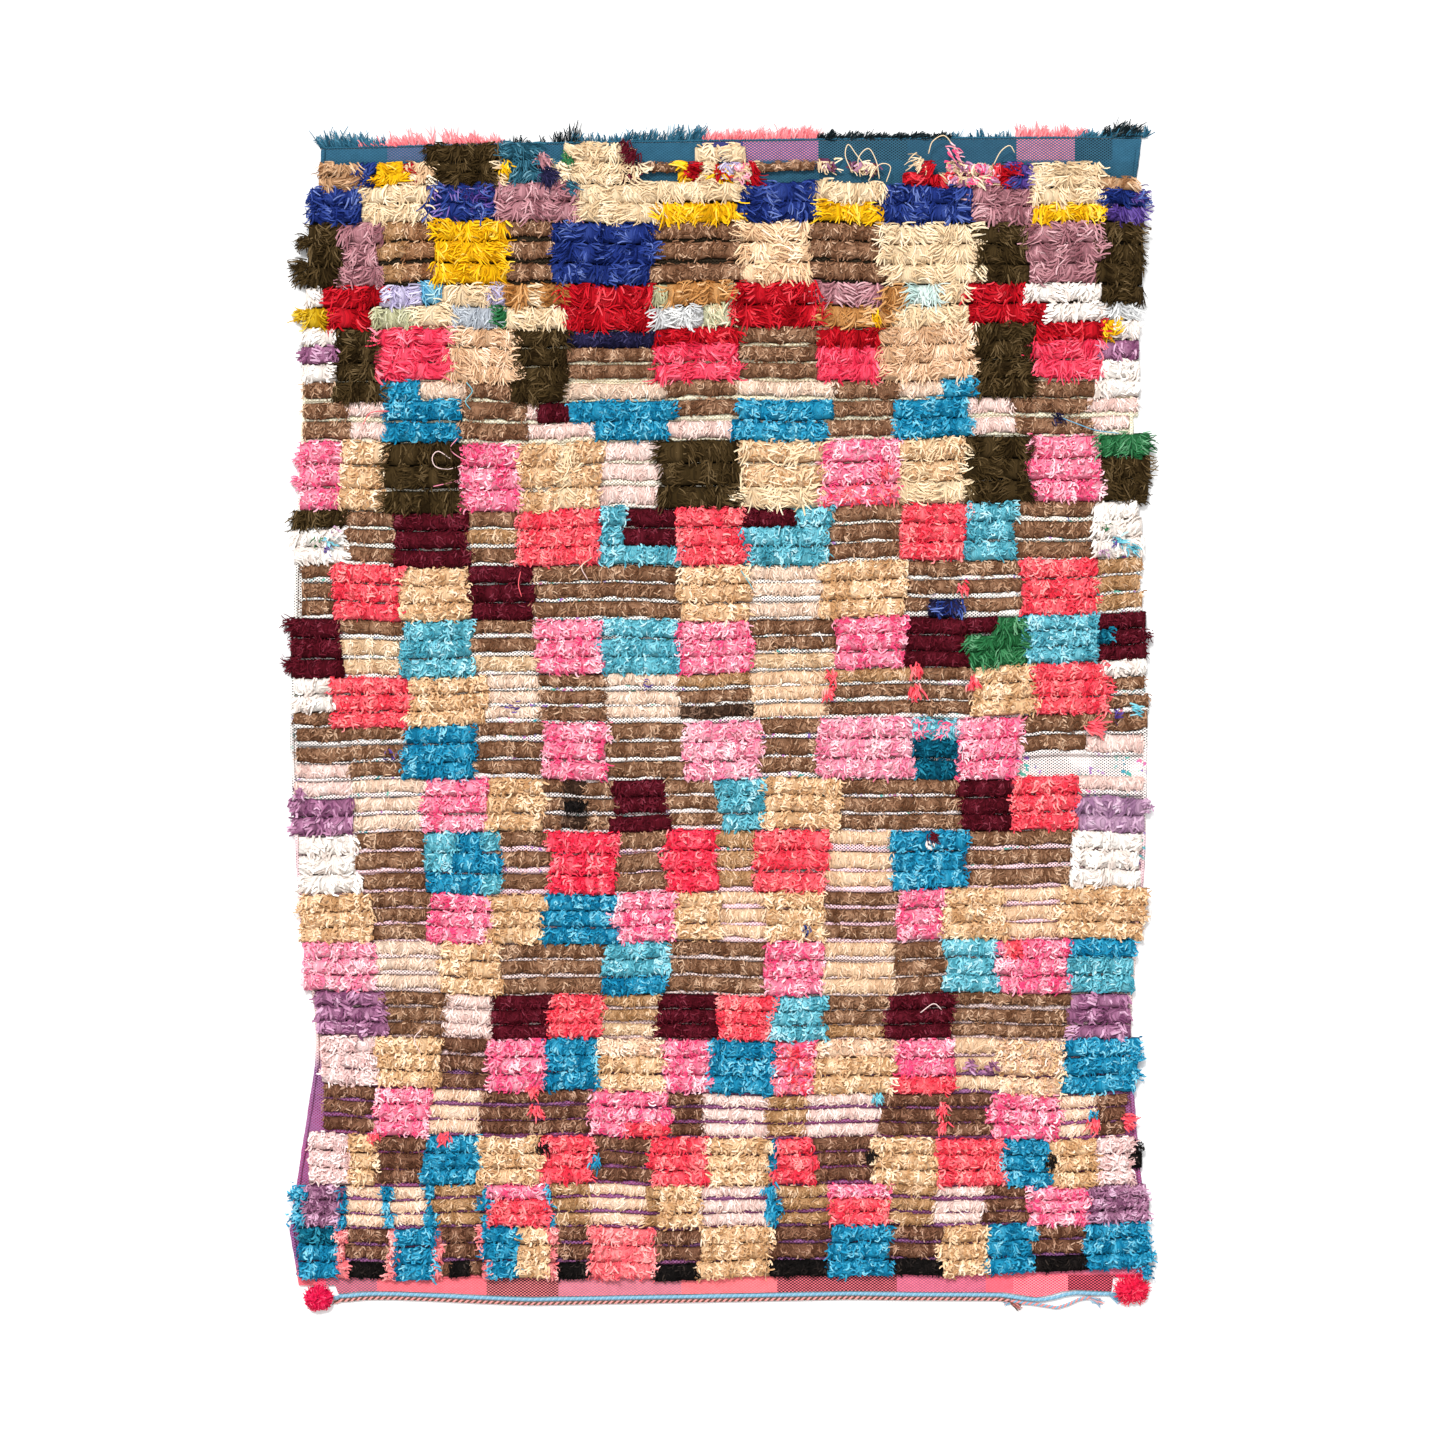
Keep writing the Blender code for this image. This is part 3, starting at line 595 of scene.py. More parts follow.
# Loose threads and loops on the pile: their yarn and their places, across and down in cm
THREADS = """
pinkrag 30.4,62.0 27.8,60.4 26.6,61.6 27.2,63.4 29.6,64.0 32.6,63.2
candy 31.6,57.8 30.2,60.0 32.8,62.0 35.6,62.6
candy 26.8,67.4 29.6,66.8 33.0,66.0 36.4,66.6
coral 12.8,55.0 14.2,52.8 17.4,52.4 20.0,53.0
sky 33.4,46.6 34.6,48.4 33.2,50.4 34.2,52.0
pinkrag 24.2,180.4 23.0,177.6 24.6,175.6
creamrag 54.6,85.0 57.0,82.6 58.6,81.4
cream 110.4,4.8 109.0,1.4 109.6,-0.8 111.2,1.2 113.4,4.0
cream 112.0,5.6 111.6,2.0 113.6,0.0 115.2,2.6 115.8,6.0
cream 113.6,6.4 115.8,3.2 118.0,3.6 117.2,6.6
cream 125.6,1.0 126.4,-1.4 128.6,-2.6 130.2,-1.0 131.4,1.4
cream 138.6,3.2 140.0,0.6 141.8,-0.6 142.8,0.8
skyyarn 152.0,53.6 155.0,54.8 159.0,56.2 163.6,56.8
pinkrag 57.6,86.0 56.4,83.4 58.4,81.6
sky 88.2,84.2 89.8,86.6 90.6,88.0
white 103.8,96.4 104.6,98.4
creamrag 134.2,180.2 136.8,178.8 139.6,179.4
pinkrag 124.0,172.4 126.6,170.6 128.2,171.8
coral 44.2,84.4 43.8,87.0 44.4,89.4
"""
THREAD_RADIUS = 0.0010
THREAD_STEP_CM = 0.5
THREAD_HUMP = 0.003
THREAD_REST = 0.001
THREAD_SIDES = 4
THREAD_SPREAD = 0.05
THREAD_CARD = (0.5, 0.9)

# Top fringe: where each run of cut ends begins and stops in cm, its yarn, strips a metre, length in
# metres at its start and at its end, and lean in radians from straight up
FRINGE_RUNS = table("start end yarn per_metre length end_length lean", """
4.0 17.0 edgeteal 2000 0.040 0.020 -0.50
12.0 20.0 edgesalmon 500 0.014 0.018 -0.60
18.0 27.0 edgesalmon 1200 0.026 0.034 -0.35
29.0 41.0 edgesalmon 1100 0.034 0.018 -0.30
41.0 49.0 edgeblack 350 0.020 0.016 0.10
51.0 55.0 edgeblack 900 0.030 0.036 0.05
54.0 64.0 edgeteal 700 0.022 0.018 -0.10
64.0 81.0 edgeteal 1000 0.024 0.034 0.30
80.6 103.6 edgesalmon 1600 0.020 0.030 0.15
103.0 130.0 edgeblack 1700 0.020 0.014 0.70
129.0 143.4 edgeteal 420 0.014 0.018 -0.05
143.0 157.0 edgesalmon 1200 0.030 0.022 0.20
155.0 169.0 edgeteal 1100 0.018 0.026 0.60
160.0 166.8 edgeblack 2100 0.037 0.040 0.75
""")
FRINGE_WIDTH = 0.0024
FRINGE_POINTS = 5
FRINGE_VARY = 0.28
FRINGE_CURL = 0.9
FRINGE_REST = 0.0025
FRINGE_LIFT = 0.0040
FRINGE_LEAST = 0.3
FRINGE_START = 0.002
FRINGE_LENGTHS = (0.45, 1.1)
FRINGE_WIDTHS = (0.7, 1.3)
FRINGE_SPREAD = 0.18
# How wide a bunch of cut ends is in cm, and how its ends turn, grow longer and grow lighter
BUNCH_CM = 2.2
BUNCH_TURN = 0.35
BUNCH_LENGTH = 0.45
BUNCH_SHADE = 0.08
# The twined edge: where it begins and ends, its radius and the length of one turn
TWINE_FROM_CM = 4.6
TWINE_TO_CM = 168.2
TWINE_RADIUS = 0.0030
TWINE_TWIST = 0.011
TWINE_SPREAD = 0.02

# Cords along the bottom hem, as in the part: radius and loop in metres, start and end across in cm,
# and the two yarns up to each place across
Cord = namedtuple("Cord", "name replaces radius start end sag plies")
INNER_PLIES = ((162.0, "innerblue", "innerpale"),)
OUTER_PLIES = ((142.0, "outersalmon", "outerbrown"), (158.0, "outersalmon", "outerblue"))
INNER_CORD = Cord("cord_inner", "end_cord_inner", 0.0045, 7.9, 162.0, 0.0, INNER_PLIES)
OUTER_CORD = Cord("cord_outer", "end_cord_outer", 0.0038, 7.9, 158.0, 0.014, OUTER_PLIES)
CORD_STEP = 2.2
CORD_GAP = 0.0007
GAP = 0.0003
SAG_CENTRE = 152.4
SAG_HALF_WIDTH = 5.4
TWIST = 0.012
ROPE_STEP_CM = 0.25
FRAY_WIDTH = 0.0018
FRAY_HEADING = 1.15
FRAY_LENGTH = 0.028
FRAY_STRIPS = 22
FRAY_POINTS = 5
FRAY_VARY = 0.22
FRAY_CURL = 0.7
FRAY_LENGTHS = (0.5, 1.2)
FRAY_APART = (0.001, 0.0012)
FRAY_END = 0.0012
FRAY_LAYER = 0.0015
FRAY_SPREAD = 0.18
PLY_OUT = 0.44
PLY_RADIUS = 0.56
PLY_SIDES = 5
PLY_SPREAD = 0.04
PLY_CARD = (0.25, 0.75)

# Corner tufts, as in the part: centre across and the hem each is bound to in cm, half sizes and
# height in metres, and the length of their cut ends
TUFTS = table("name replaces yarn across hem half_x half_y height ends", """
tuft_left corner_tuft_left tuftpink 3.8 227.0 0.029 0.0245 0.0205 0.010
tuft_right corner_tuft_right tuftred 166.3 225.4 0.033 0.0240 0.0205 0.016
""")
TUFT_LOOPS = 110
TUFT_LOOP_STEPS = 8
TUFT_LOOP_LENGTH = 0.022
TUFT_YARN_RADIUS = 0.0013
TUFT_ENDS = 520
TUFT_END_WIDTH = 0.0024
TUFT_END_POINTS = 4
TUFT_END_FROM = (0.1, 0.85)
TUFT_END_LENGTHS = (0.4, 1.2)
TUFT_END_WIDTHS = (0.7, 1.2)
TUFT_END_VARY = 0.7
TUFT_END_CURL = 1.4
TUFT_END_LAYER = 0.003
TUFT_END_FALL = 0.9
TUFT_END_REST = 0.001
TUFT_END_SPREAD = 0.2
# A loop: how low it begins, how it wanders, its shades and its part of the card
LOOP_LOW = -0.3
LOOP_WANDER = 0.7
LOOP_SHADES = (0.1, 0.9)
LOOP_CARD = (0.3, 0.9)
LOOP_REST = 0.0002
# The ball under the loops: its share of the tuft's size, how near its poles it ends, and its card
BALL_SHARE = 0.86
BALL_RINGS = 9
BALL_SIDES = 16
BALL_END = 1.45
BALL_CARD = 0.2

# Ground: rows of points down the rug, the plain stretch between two of its columns in cm, and the
# pitches of its weave
GROUND_ROWS = 70
GROUND_COLUMN_CM = 5.0
WEAVE_ACROSS = 0.0038
WEAVE_DOWN = 0.0027
# Warp ends that show as dots: how large they are, also in the bottom hem, and where they show more
DOT_EDGE = (0.02, 0.34)
HEM_DOT_EDGE = (-0.22, 0.06)
DOT_PATCHES = (0.38, 0.54)
DOT_LEAST = 0.5
# How fine the weave's noises are: patches of dots, bits and clusters of bits, their tints, fibres
# and mottles. Then how light fibres and mottles make the cloth, and how deep its relief is
PATCH_SCALE = 13.0
BITS_SCALE = 95.0
CLUSTER_SCALE = 7.0
TINT_SCALE = 23.0
FIBRE_SCALE = 420.0
MOTTLE_SCALE = 60.0
FIBRE_LIGHT = (0.3, 0.7, 0.86, 1.08)
MOTTLE_LIGHT = (0.3, 0.7, -0.05, 0.05)
FIBRE_RELIEF = 0.6
RELIEF_DEPTH = 0.0007
RELIEF_STRENGTH = 0.6
# Bits of other colours in the weft: where they are down the rug in cm, how small, and their colours
WEFT_BITS_DOWN = (70.0, 146.0)
BITS_EDGE = (0.60, 0.66)
CLUSTER_EDGE = (0.42, 0.56)
BITS_FADE_CM = 2.0
WEFT_BITS = table("place colour", """
0.30 #2c96ac
0.46 #60b296
0.54 #8c60ba
0.70 #ec7896
""")
# Where the hems' own colours end, in cm down the rug, and how uneven the hems lie
TOP_HEM_END = 2.2
TOP_HEM_FADE = 0.4
BOTTOM_HEM_START = 224.8
BOTTOM_HEM_FADE = 0.3
HEM_RIPPLE = 0.0006
# The ground's ripples: how fast each turns across and down the rug, in radians per cm
RIPPLES = ((0.9, 0.4), (0.37, -0.8))
# Where the ground's corners are, and how far down its sides and its flat length are measured, in cm
CORNER_DOWN = 228.0
# Colours of the weft and of the warp's dots down the rug. A dot colour only a little darker than its
# weft is painted shade of the weave's texture; a dot of another colour is the warp's own.
WEFT = table("down weft dots", """
-3.0 #2e5c76 #244e68
7.0 #2e586c #1e3c4e
9.0 #2c261c #1c1610
33.0 #3c3226 #221a12
35.0 #f6eace #e8ce8c
56.0 #f8f0da #c4be96
72.0 #fcf4e6 #787068
84.0 #fff8f0 #3c383a
112.0 #fff8f2 #222226
134.0 #fff0ec #221e22
139.0 #ffdade #32242c
156.0 #f8d0d8 #aa7886
162.0 #f6e2da #786064
180.0 #f2d4ce #aa828c
184.0 #a4729e #4c244e
200.0 #966290 #b03464
222.0 #9e689a #4c244e
226.0 #f3747e #e25c6a
""")
# Colours across the two hems, from EDGE_LEFT: where each stretch ends in cm, its weft and its dots.
# Dots only a little darker than their weft are painted shade of the weave; others are warp ends.
EDGE_LEFT = -3.0
TOP_STRETCHES = table("end weft dots", """
17.0 #326078 #28546e
40.0 #305c78 #706286
80.0 #305e76 #265068
88.0 #3e467c #463c78
103.6 #38587e #d87a94
121.0 #345e74 #16222a
143.0 #2e566c #264a60
154.4 #3c607c #e27a8e
162.0 #325c72 #142026
172.0 #326078 #28546c
""")
BOTTOM_STRETCHES = table("end weft dots", """
2.8 #f0707c #e4606e
5.0 #e41a4c #ec6e82
15.0 #ea7082 #7e5e6e
37.0 #f57880 #e86470
51.6 #ec8286 #220c12
76.0 #f07e88 #ae7084
95.0 #f77e82 #ec6c74
119.0 #ee7480 #220c12
137.0 #f0788a #b05876
142.0 #f46c7a #e65c6c
153.0 #ec305a #fe9296
163.0 #e85c70 #1c0e14
172.0 #e82854 #d61442
""")
# Shots of weft packed below a low row of knots: how far they are tucked under it, the length of a
# step in cm, how much of the gap their flat top fills, and how high they stand in metres for how
# far down the rug they are in cm
SHOT_TUCK = 0.0006
SHOT_STEP_CM = 2.0
SHOT_FLAT = 0.4
SHOT_DOWN = (0.0, 60.0, 72.0, 156.0, 168.0)
SHOT_HEIGHT = (0.005, 0.0065, 0.0100, 0.0100, 0.0070)
SHOT_VARY = (0.85, 1.15)
# Selvedges: their radius, how lumpy they are, the length of a lump, where they end in cm, and the
# slow swells along them, each a share of the radius and its radians per cm
SELVEDGE = 0.0042
SELVEDGE_LUMP = 0.30
SELVEDGE_SWELLS = ((0.12, 0.7), (0.08, 2.3))
SELVEDGE_PITCH_CM = 0.9
SELVEDGE_STEP_CM = 0.45
SELVEDGE_END = 224.0
SELVEDGE_REST = SELVEDGE * 1.3
SELVEDGE_SIDES = 6

# Stage: how far the floor reaches, how far it is below the rug, its grey, the light from all round,
# and the strength, softness and tilt of the key light in degrees
FLOOR_REACH = 12.0
FLOOR_DROP = 0.0005
FLOOR_GREY = 0.95
FLOOR_ROUGHNESS = 0.9
ROUND_LIGHT = 0.86
KEY_LIGHT = 2.9
KEY_SOFTNESS = 14
KEY_TILT = (-36, -14, 0)

# Camera: its sensor in mm, how far it sees and its height in metres, the width of the photograph's
# frame in metres, and the frame's middle on the rug in cm
SENSOR = 36.0
SIGHT = 60.0
CAMERA_HEIGHT = 9.0
FRAME_WIDTH = 2.88
FRAME_ACROSS = 84.0
FRAME_DOWN = 114.0


def world_x(across):
    return (np.asarray(across) - CENTRE_ACROSS) * CM


def world_y(down):
    return (CENTRE_DOWN - np.asarray(down)) * CM


def bowed(levels, share):
    """Reads a line given at the rug's left edge, middle and right edge."""
    left, middle, right = levels
    return (
        left * (1 - share) * (1 - 2 * share)
        + middle * 4 * share * (1 - share)
        + right * share * (2 * share - 1)
    )


def edge_at(down, side):
    """Where the ground's left (1) or right (2) edge lies, in cm."""
    return np.interp(down, [e.down for e in OUTLINE], [e[side] for e in OUTLINE])


def share_at(across, down):
    left = edge_at(down, 1)
    return (across - left) / (edge_at(down, 2) - left)


def slow_wave(places, length, chance):
    """An uneven wave from about -1 to 1 along a row, whose swings are about one length long."""
    phases = chance.uniform(0, math.tau, len(WAVES))
    turns = np.asarray(places) / length
    return sum(size * np.sin(turns * pace + phase) for (size, pace), phase in zip(WAVES, phases))


class Pile:
    """Collects the strands and knots of one piece, and makes its mesh."""

    def __init__(self):
        self.points = []
        self.faces = []
        self.uvs = []
        self.count = 0

    def add(self, points, faces, uvs=()):
        """points (n, 3), faces a list of index arrays of one width, uvs matching each face's corners."""
        self.points.append(points)
        self.faces += [group + self.count for group in faces]
        self.uvs += uvs
        self.count += len(points)

    def mesh(self, name, with_uv=True):
        points = np.concatenate(self.points).astype(np.float32)
        sizes = np.concatenate([np.full(len(f), f.shape[1], dtype=np.int32) for f in self.faces])
        corners = np.concatenate([f.ravel() for f in self.faces]).astype(np.int32)
        mesh = bpy.data.meshes.new(name)
        mesh.vertices.add(len(points))
        mesh.vertices.foreach_set("co", points.ravel())
        mesh.loops.add(len(corners))
        mesh.loops.foreach_set("vertex_index", corners)
        mesh.polygons.add(len(sizes))
        starts = np.concatenate(([0], np.cumsum(sizes)[:-1])).astype(np.int32)
        mesh.polygons.foreach_set("loop_start", starts)
        mesh.polygons.foreach_set("loop_total", sizes)
        mesh.polygons.foreach_set("use_smooth", np.ones(len(sizes), dtype=bool))
        mesh.update(calc_edges=True)
        if with_uv:
            uvs = np.concatenate([u.reshape(-1, 2) for u in self.uvs]).astype(np.float32)
            mesh.uv_layers.new(name=UV_NAME).data.foreach_set("uv", uvs.ravel())
        mesh.validate()
        return mesh


def sides_along(paths):
    """The directions to the side of paths (..., points, 3), and up from them."""
    along = np.gradient(paths, axis=-2)
    along /= np.linalg.norm(along, axis=-1, keepdims=True) + TINY
    side = np.cross(along, (0.0, 0.0, 1.0))
    side /= np.linalg.norm(side, axis=-1, keepdims=True) + TINY
    return side, np.cross(side, along)


def ring_faces(rings, sides, inward=False):
    """Quads between closed rings of points, and a cap on each end, turned the other way if inward."""
    index = np.arange(rings * sides).reshape(rings, sides)
    turned = np.roll(index, -1, axis=1)
    if inward:
        quads = np.stack((index[:-1], index[1:], turned[1:], turned[:-1]), axis=-1)
        return [quads.reshape(-1, 4), index[:1], index[-1:, ::-1]]
    quads = np.stack((index[:-1], turned[:-1], turned[1:], index[1:]), axis=-1)
    return [quads.reshape(-1, 4), index[:1, ::-1], index[-1:]]


def cap_place(angles, u, v_low, v_high):
    """A round cap's places on the card, (1, sides, 2)."""
    across = u + SHADE_WIDTH * (0.5 + 0.5 * np.cos(angles))
    along = v_low + (v_high - v_low) * (0.5 + 0.5 * np.sin(angles))
    return np.stack((across, along), -1)[None]


def add_strips(pile, paths, widths, shades, chance):
    """Adds strips along paths (n, points, 3), with a width and shade at each point."""
    n, count, _ = paths.shape
    rolls = chance.normal(0.0, ROLL, n)[:, None, None]
    side, upward = sides_along(paths)
    half = 0.5 * widths[:, :, None] * (np.cos(rolls) * side + np.sin(rolls) * upward)
    points = np.stack((paths - half, paths + half), axis=2)
    index = np.arange(n * count * 2).reshape(n, count, 2)
    quads = np.stack((index[:, :-1, 0], index[:, :-1, 1], index[:, 1:, 1], index[:, 1:, 0]), axis=-1)
    v = np.broadcast_to(np.linspace(STRIP_ROOT, 1.0, count)[None, :], (n, count))
    low = np.stack((shades, v), -1)
    high = np.stack((shades + SHADE_WIDTH, v), -1)
    uv = np.stack((low[:, :-1], high[:, :-1], high[:, 1:], low[:, 1:]), axis=2)
    pile.add(points.reshape(-1, 3), [quads.reshape(-1, 4)], [uv.reshape(-1, 4, 2)])


def narrowed(points):
    """A strip's width at each of its points, as a share of its width at the root."""
    return 1 - (1 - TIP_WIDTH) * np.linspace(0.0, 1.0, points) ** 2


def add_locks(pile, yarn, paths, widths, shifts, spread, chance, lift=TIP_PAINTED_LIGHT):
    """Adds strips of one yarn that grow narrower to their tips, and lighter, with painted shade at the root
    and painted light at the tip.
    """
    points = paths.shape[1]
    shade = shade_place(yarn, chance, shifts, spread)
    # Painted shade at the root and painted light at the tip
    tip_light = card_share(yarn, lift) * (np.linspace(0.0, 1.0, points) - SHADE_AT)
    shades = on_card(yarn, shade[:, None] + tip_light[None, :])
    add_strips(pile, paths, widths[:, None] * narrowed(points), shades, chance)


def add_tube(pile, path, radius, sides, shade, v_low=0.0, v_high=1.0):
    """Adds one closed tube of many sides along a path (rings, 3)."""
    rings = len(path)
    side, upward = sides_along(path)
    angles = math.tau * np.arange(sides) / sides
    radius = np.broadcast_to(radius, (rings,))
    points = path[:, None, :] + radius[:, None, None] * (
        np.cos(angles)[None, :, None] * side[:, None, :] + np.sin(angles)[None, :, None] * upward[:, None, :]
    )
    after = shade + SHADE_WIDTH
    corners = np.array(((shade, v_low), (shade, v_high), (after, v_high), (after, v_low)))
    quad_uv = np.broadcast_to(corners, ((rings - 1) * sides, 4, 2))
    cap_uv = cap_place(angles, shade, v_low, v_high)
    pile.add(points.reshape(-1, 3), ring_faces(rings, sides, True), [quad_uv, cap_uv, cap_uv])


def row_profile(through, roundness):
    """Height of a row in section, from 0 at its edges to 1, for how far through the row a point is."""
    return np.sin(math.pi * np.clip(through, 0.0, 1.0)) ** roundness


def row_level(levels, across, share):
    """How far down a row line lies, with the slow wave that all rows share."""
    down = bowed(levels, share)
    waves = sum(size * np.sin(across / wide + down / deep) for size, wide, deep in ROW_WAVES)
    return down + ROW_WAVE_CM * waves


def add_knots(pile, columns_x, top_y, reach, kind, shades, yarn, chance):
    """Adds the closed mound of knots that stands under one block's strips in one row."""
    n = len(columns_x)
    section = np.array(CORE_SECTION)
    lumps = 1 + CORE_LUMP * chance.uniform(-1, 1, n)
    lumps[[0, -1]] *= CORE_END
    upper = top_y + CORE_UNEVEN * chance.uniform(*CORE_UPPER, n)
    lower = top_y - reach + CORE_UNEVEN * chance.uniform(*CORE_LOWER, n)
    y = upper[:, None] + (lower - upper)[:, None] * section[None, :]
    profile = row_profile(section, kind.roundness)
    stands = profile > CORE_FOOT
    z = GROUND / 2 + (GROUND / 2 + kind.height * lumps[:, None] * profile[None, :]) * stands
    points = np.stack((np.broadcast_to(columns_x[:, None], y.shape), y, z), -1)
    # Painted shade: the knots are darker towards the row's edges than at the crest
    u = on_card(yarn, shades[:, None] - card_share(yarn, CORE_EDGE_SHADE) * (1 - profile)[None, :])
    v = np.broadcast_to((CORE_DARK + (CORE_LIGHT - CORE_DARK) * profile)[None, :], u.shape)
    ahead = np.where(np.abs(u[1:] - u[:-1]) < SHADE_WIDTH, u[:-1] + SHADE_WIDTH, u[1:])
    here = np.stack((u[:-1], v[:-1]), -1)
    after = np.stack((ahead, v[1:]), -1)
    quad_uv = np.stack((here, np.roll(here, -1, axis=1), np.roll(after, -1, axis=1), after), axis=2)
    cap_uv = np.stack((u[0, 0] + SHADE_WIDTH * section, v[0]), -1)[None]
    uvs = [quad_uv.reshape(-1, 4, 2), cap_uv[:, ::-1], cap_uv]
    pile.add(points.reshape(-1, 3), ring_faces(n, len(section)), uvs)


def piece_yarns(piece):
    return [yarn.name for yarn in YARN_ROWS if yarn.piece == piece]


def shade_place(yarn, chance, shifts, spread):
    """Places on the colour card: mostly between the yarn's main and light shades."""
    names = piece_yarns(YARNS[yarn].piece)
    return (names.index(yarn) + chance.normal(SHADE_MIDDLE, spread, len(shifts)) + shifts) / len(names)


def on_card(yarn, places):
    """Keeps places inside the yarn's own part of its card."""
    names = piece_yarns(YARNS[yarn].piece)
    low = (names.index(yarn) + SHADE_STOPS[0] + SHADE_MARGINS[0]) / len(names)
    high = (names.index(yarn) + SHADE_STOPS[-1] - SHADE_MARGINS[1]) / len(names) - SHADE_WIDTH
    return np.clip(places, low, high)


def card_share(yarn, amount):
    """An amount of one yarn's part of its card, in the card's own measure."""
    return amount / len(piece_yarns(YARNS[yarn].piece))


def one_shade(yarn, chance, spread):
    """A single shade for a thread or a ply."""
    return float(on_card(yarn, shade_place(yarn, chance, np.zeros(1), spread))[0])


def block_rows(chance):
    """Every block of every row: its yarns, row lines and the stretch it covers."""
    starts = [band[:3] for band in BANDS]
    found = []
    for band, start, end in zip(BANDS, starts, [*starts[1:], PILE_END]):
        count = int(band.rows)
        lines = [tuple(a + (b - a) * row / count for a, b in zip(start, end)) for row in range(count + 1)]
        for row in range(count):
            across = band.across
            for yarns, stop in band.blocks[min(row, len(band.blocks) - 1)]:
                stop = float(stop)
                by_row = yarns.split("/")
                chosen = by_row[min(row, len(by_row) - 1)]
                wander = chance.uniform(-BLOCK_WANDER_CM, BLOCK_WANDER_CM)
                stop = stop + min(wander, WANDER_SHARE * (stop - across))
                if chosen != "-":
                    stretch = (across - BLOCK_OVERLAP_CM, stop + BLOCK_OVERLAP_CM)
                    found.append((chosen.split("+"), lines[row], lines[row + 1], *stretch))
                across = stop
    return found


def row_place(top, bottom, across, kind, seed):
    """Where a row begins at each place across, and how far it reaches down the rug, in metres."""
    share = share_at(across, bowed(top, 0.5))
    chance = np.random.default_rng(seed)
    top_y = world_y(row_level(top, across, share) + chance.normal(0.0, ROW_SHIFT_CM))
    pitch = (bowed(bottom, share) - bowed(top, share)) * CM
    wave = slow_wave(across, SHADE_CM, chance)
    if kind.over > TIGHT_ROW:
        return top_y, pitch * kind.fill * (1 + TIGHT_WAVE * (1 + wave))
    covered = np.interp(top[0], OPEN_DOWN, OPEN_SHARE) + OPEN_VARY * chance.uniform(-1.0, 0.5)
    return top_y, pitch * kind.fill * covered * (1 + GAP_WAVE * wave)


def shade_wave(across, seed):
    """The slow change of shade along a row."""
    return SHADE_WAVE * slow_wave(across, SHADE_CM, np.random.default_rng(seed))


def lay_block(piles, shots, yarns, top, bottom, first, last, chance):
    """Knots one block of one row: the mound of knots, and the strips that cover it."""
    seeds = chance.integers(0, SEED_LIMIT, 3)
    for part, name in enumerate(yarns):
        kind = KINDS[YARNS[name].kind]
        pile = piles.setdefault(YARNS[name].piece, Pile())
        count = max(FEWEST_STRIPS, int(round((last - first) * CM * kind.per_metre / len(yarns))))
        lay_strips(pile, name, kind, count, top, bottom, first, last, seeds, chance)
        if part == 0:
            columns = max(3, int((last - first) / KNOT_CM) + 2)
            across = np.linspace(first, last, columns)
            top_y, reach = row_place(top, bottom, across, kind, seeds[0])
            shade = shade_place(name, chance, shade_wave(across, seeds[2]), CORE_SPREAD)
            add_knots(pile, world_x(across), top_y, reach, kind, shade, name, chance)
            if kind.over < TIGHT_ROW:
                add_shot(shots, top, bottom, first, last, kind, seeds[0], chance)


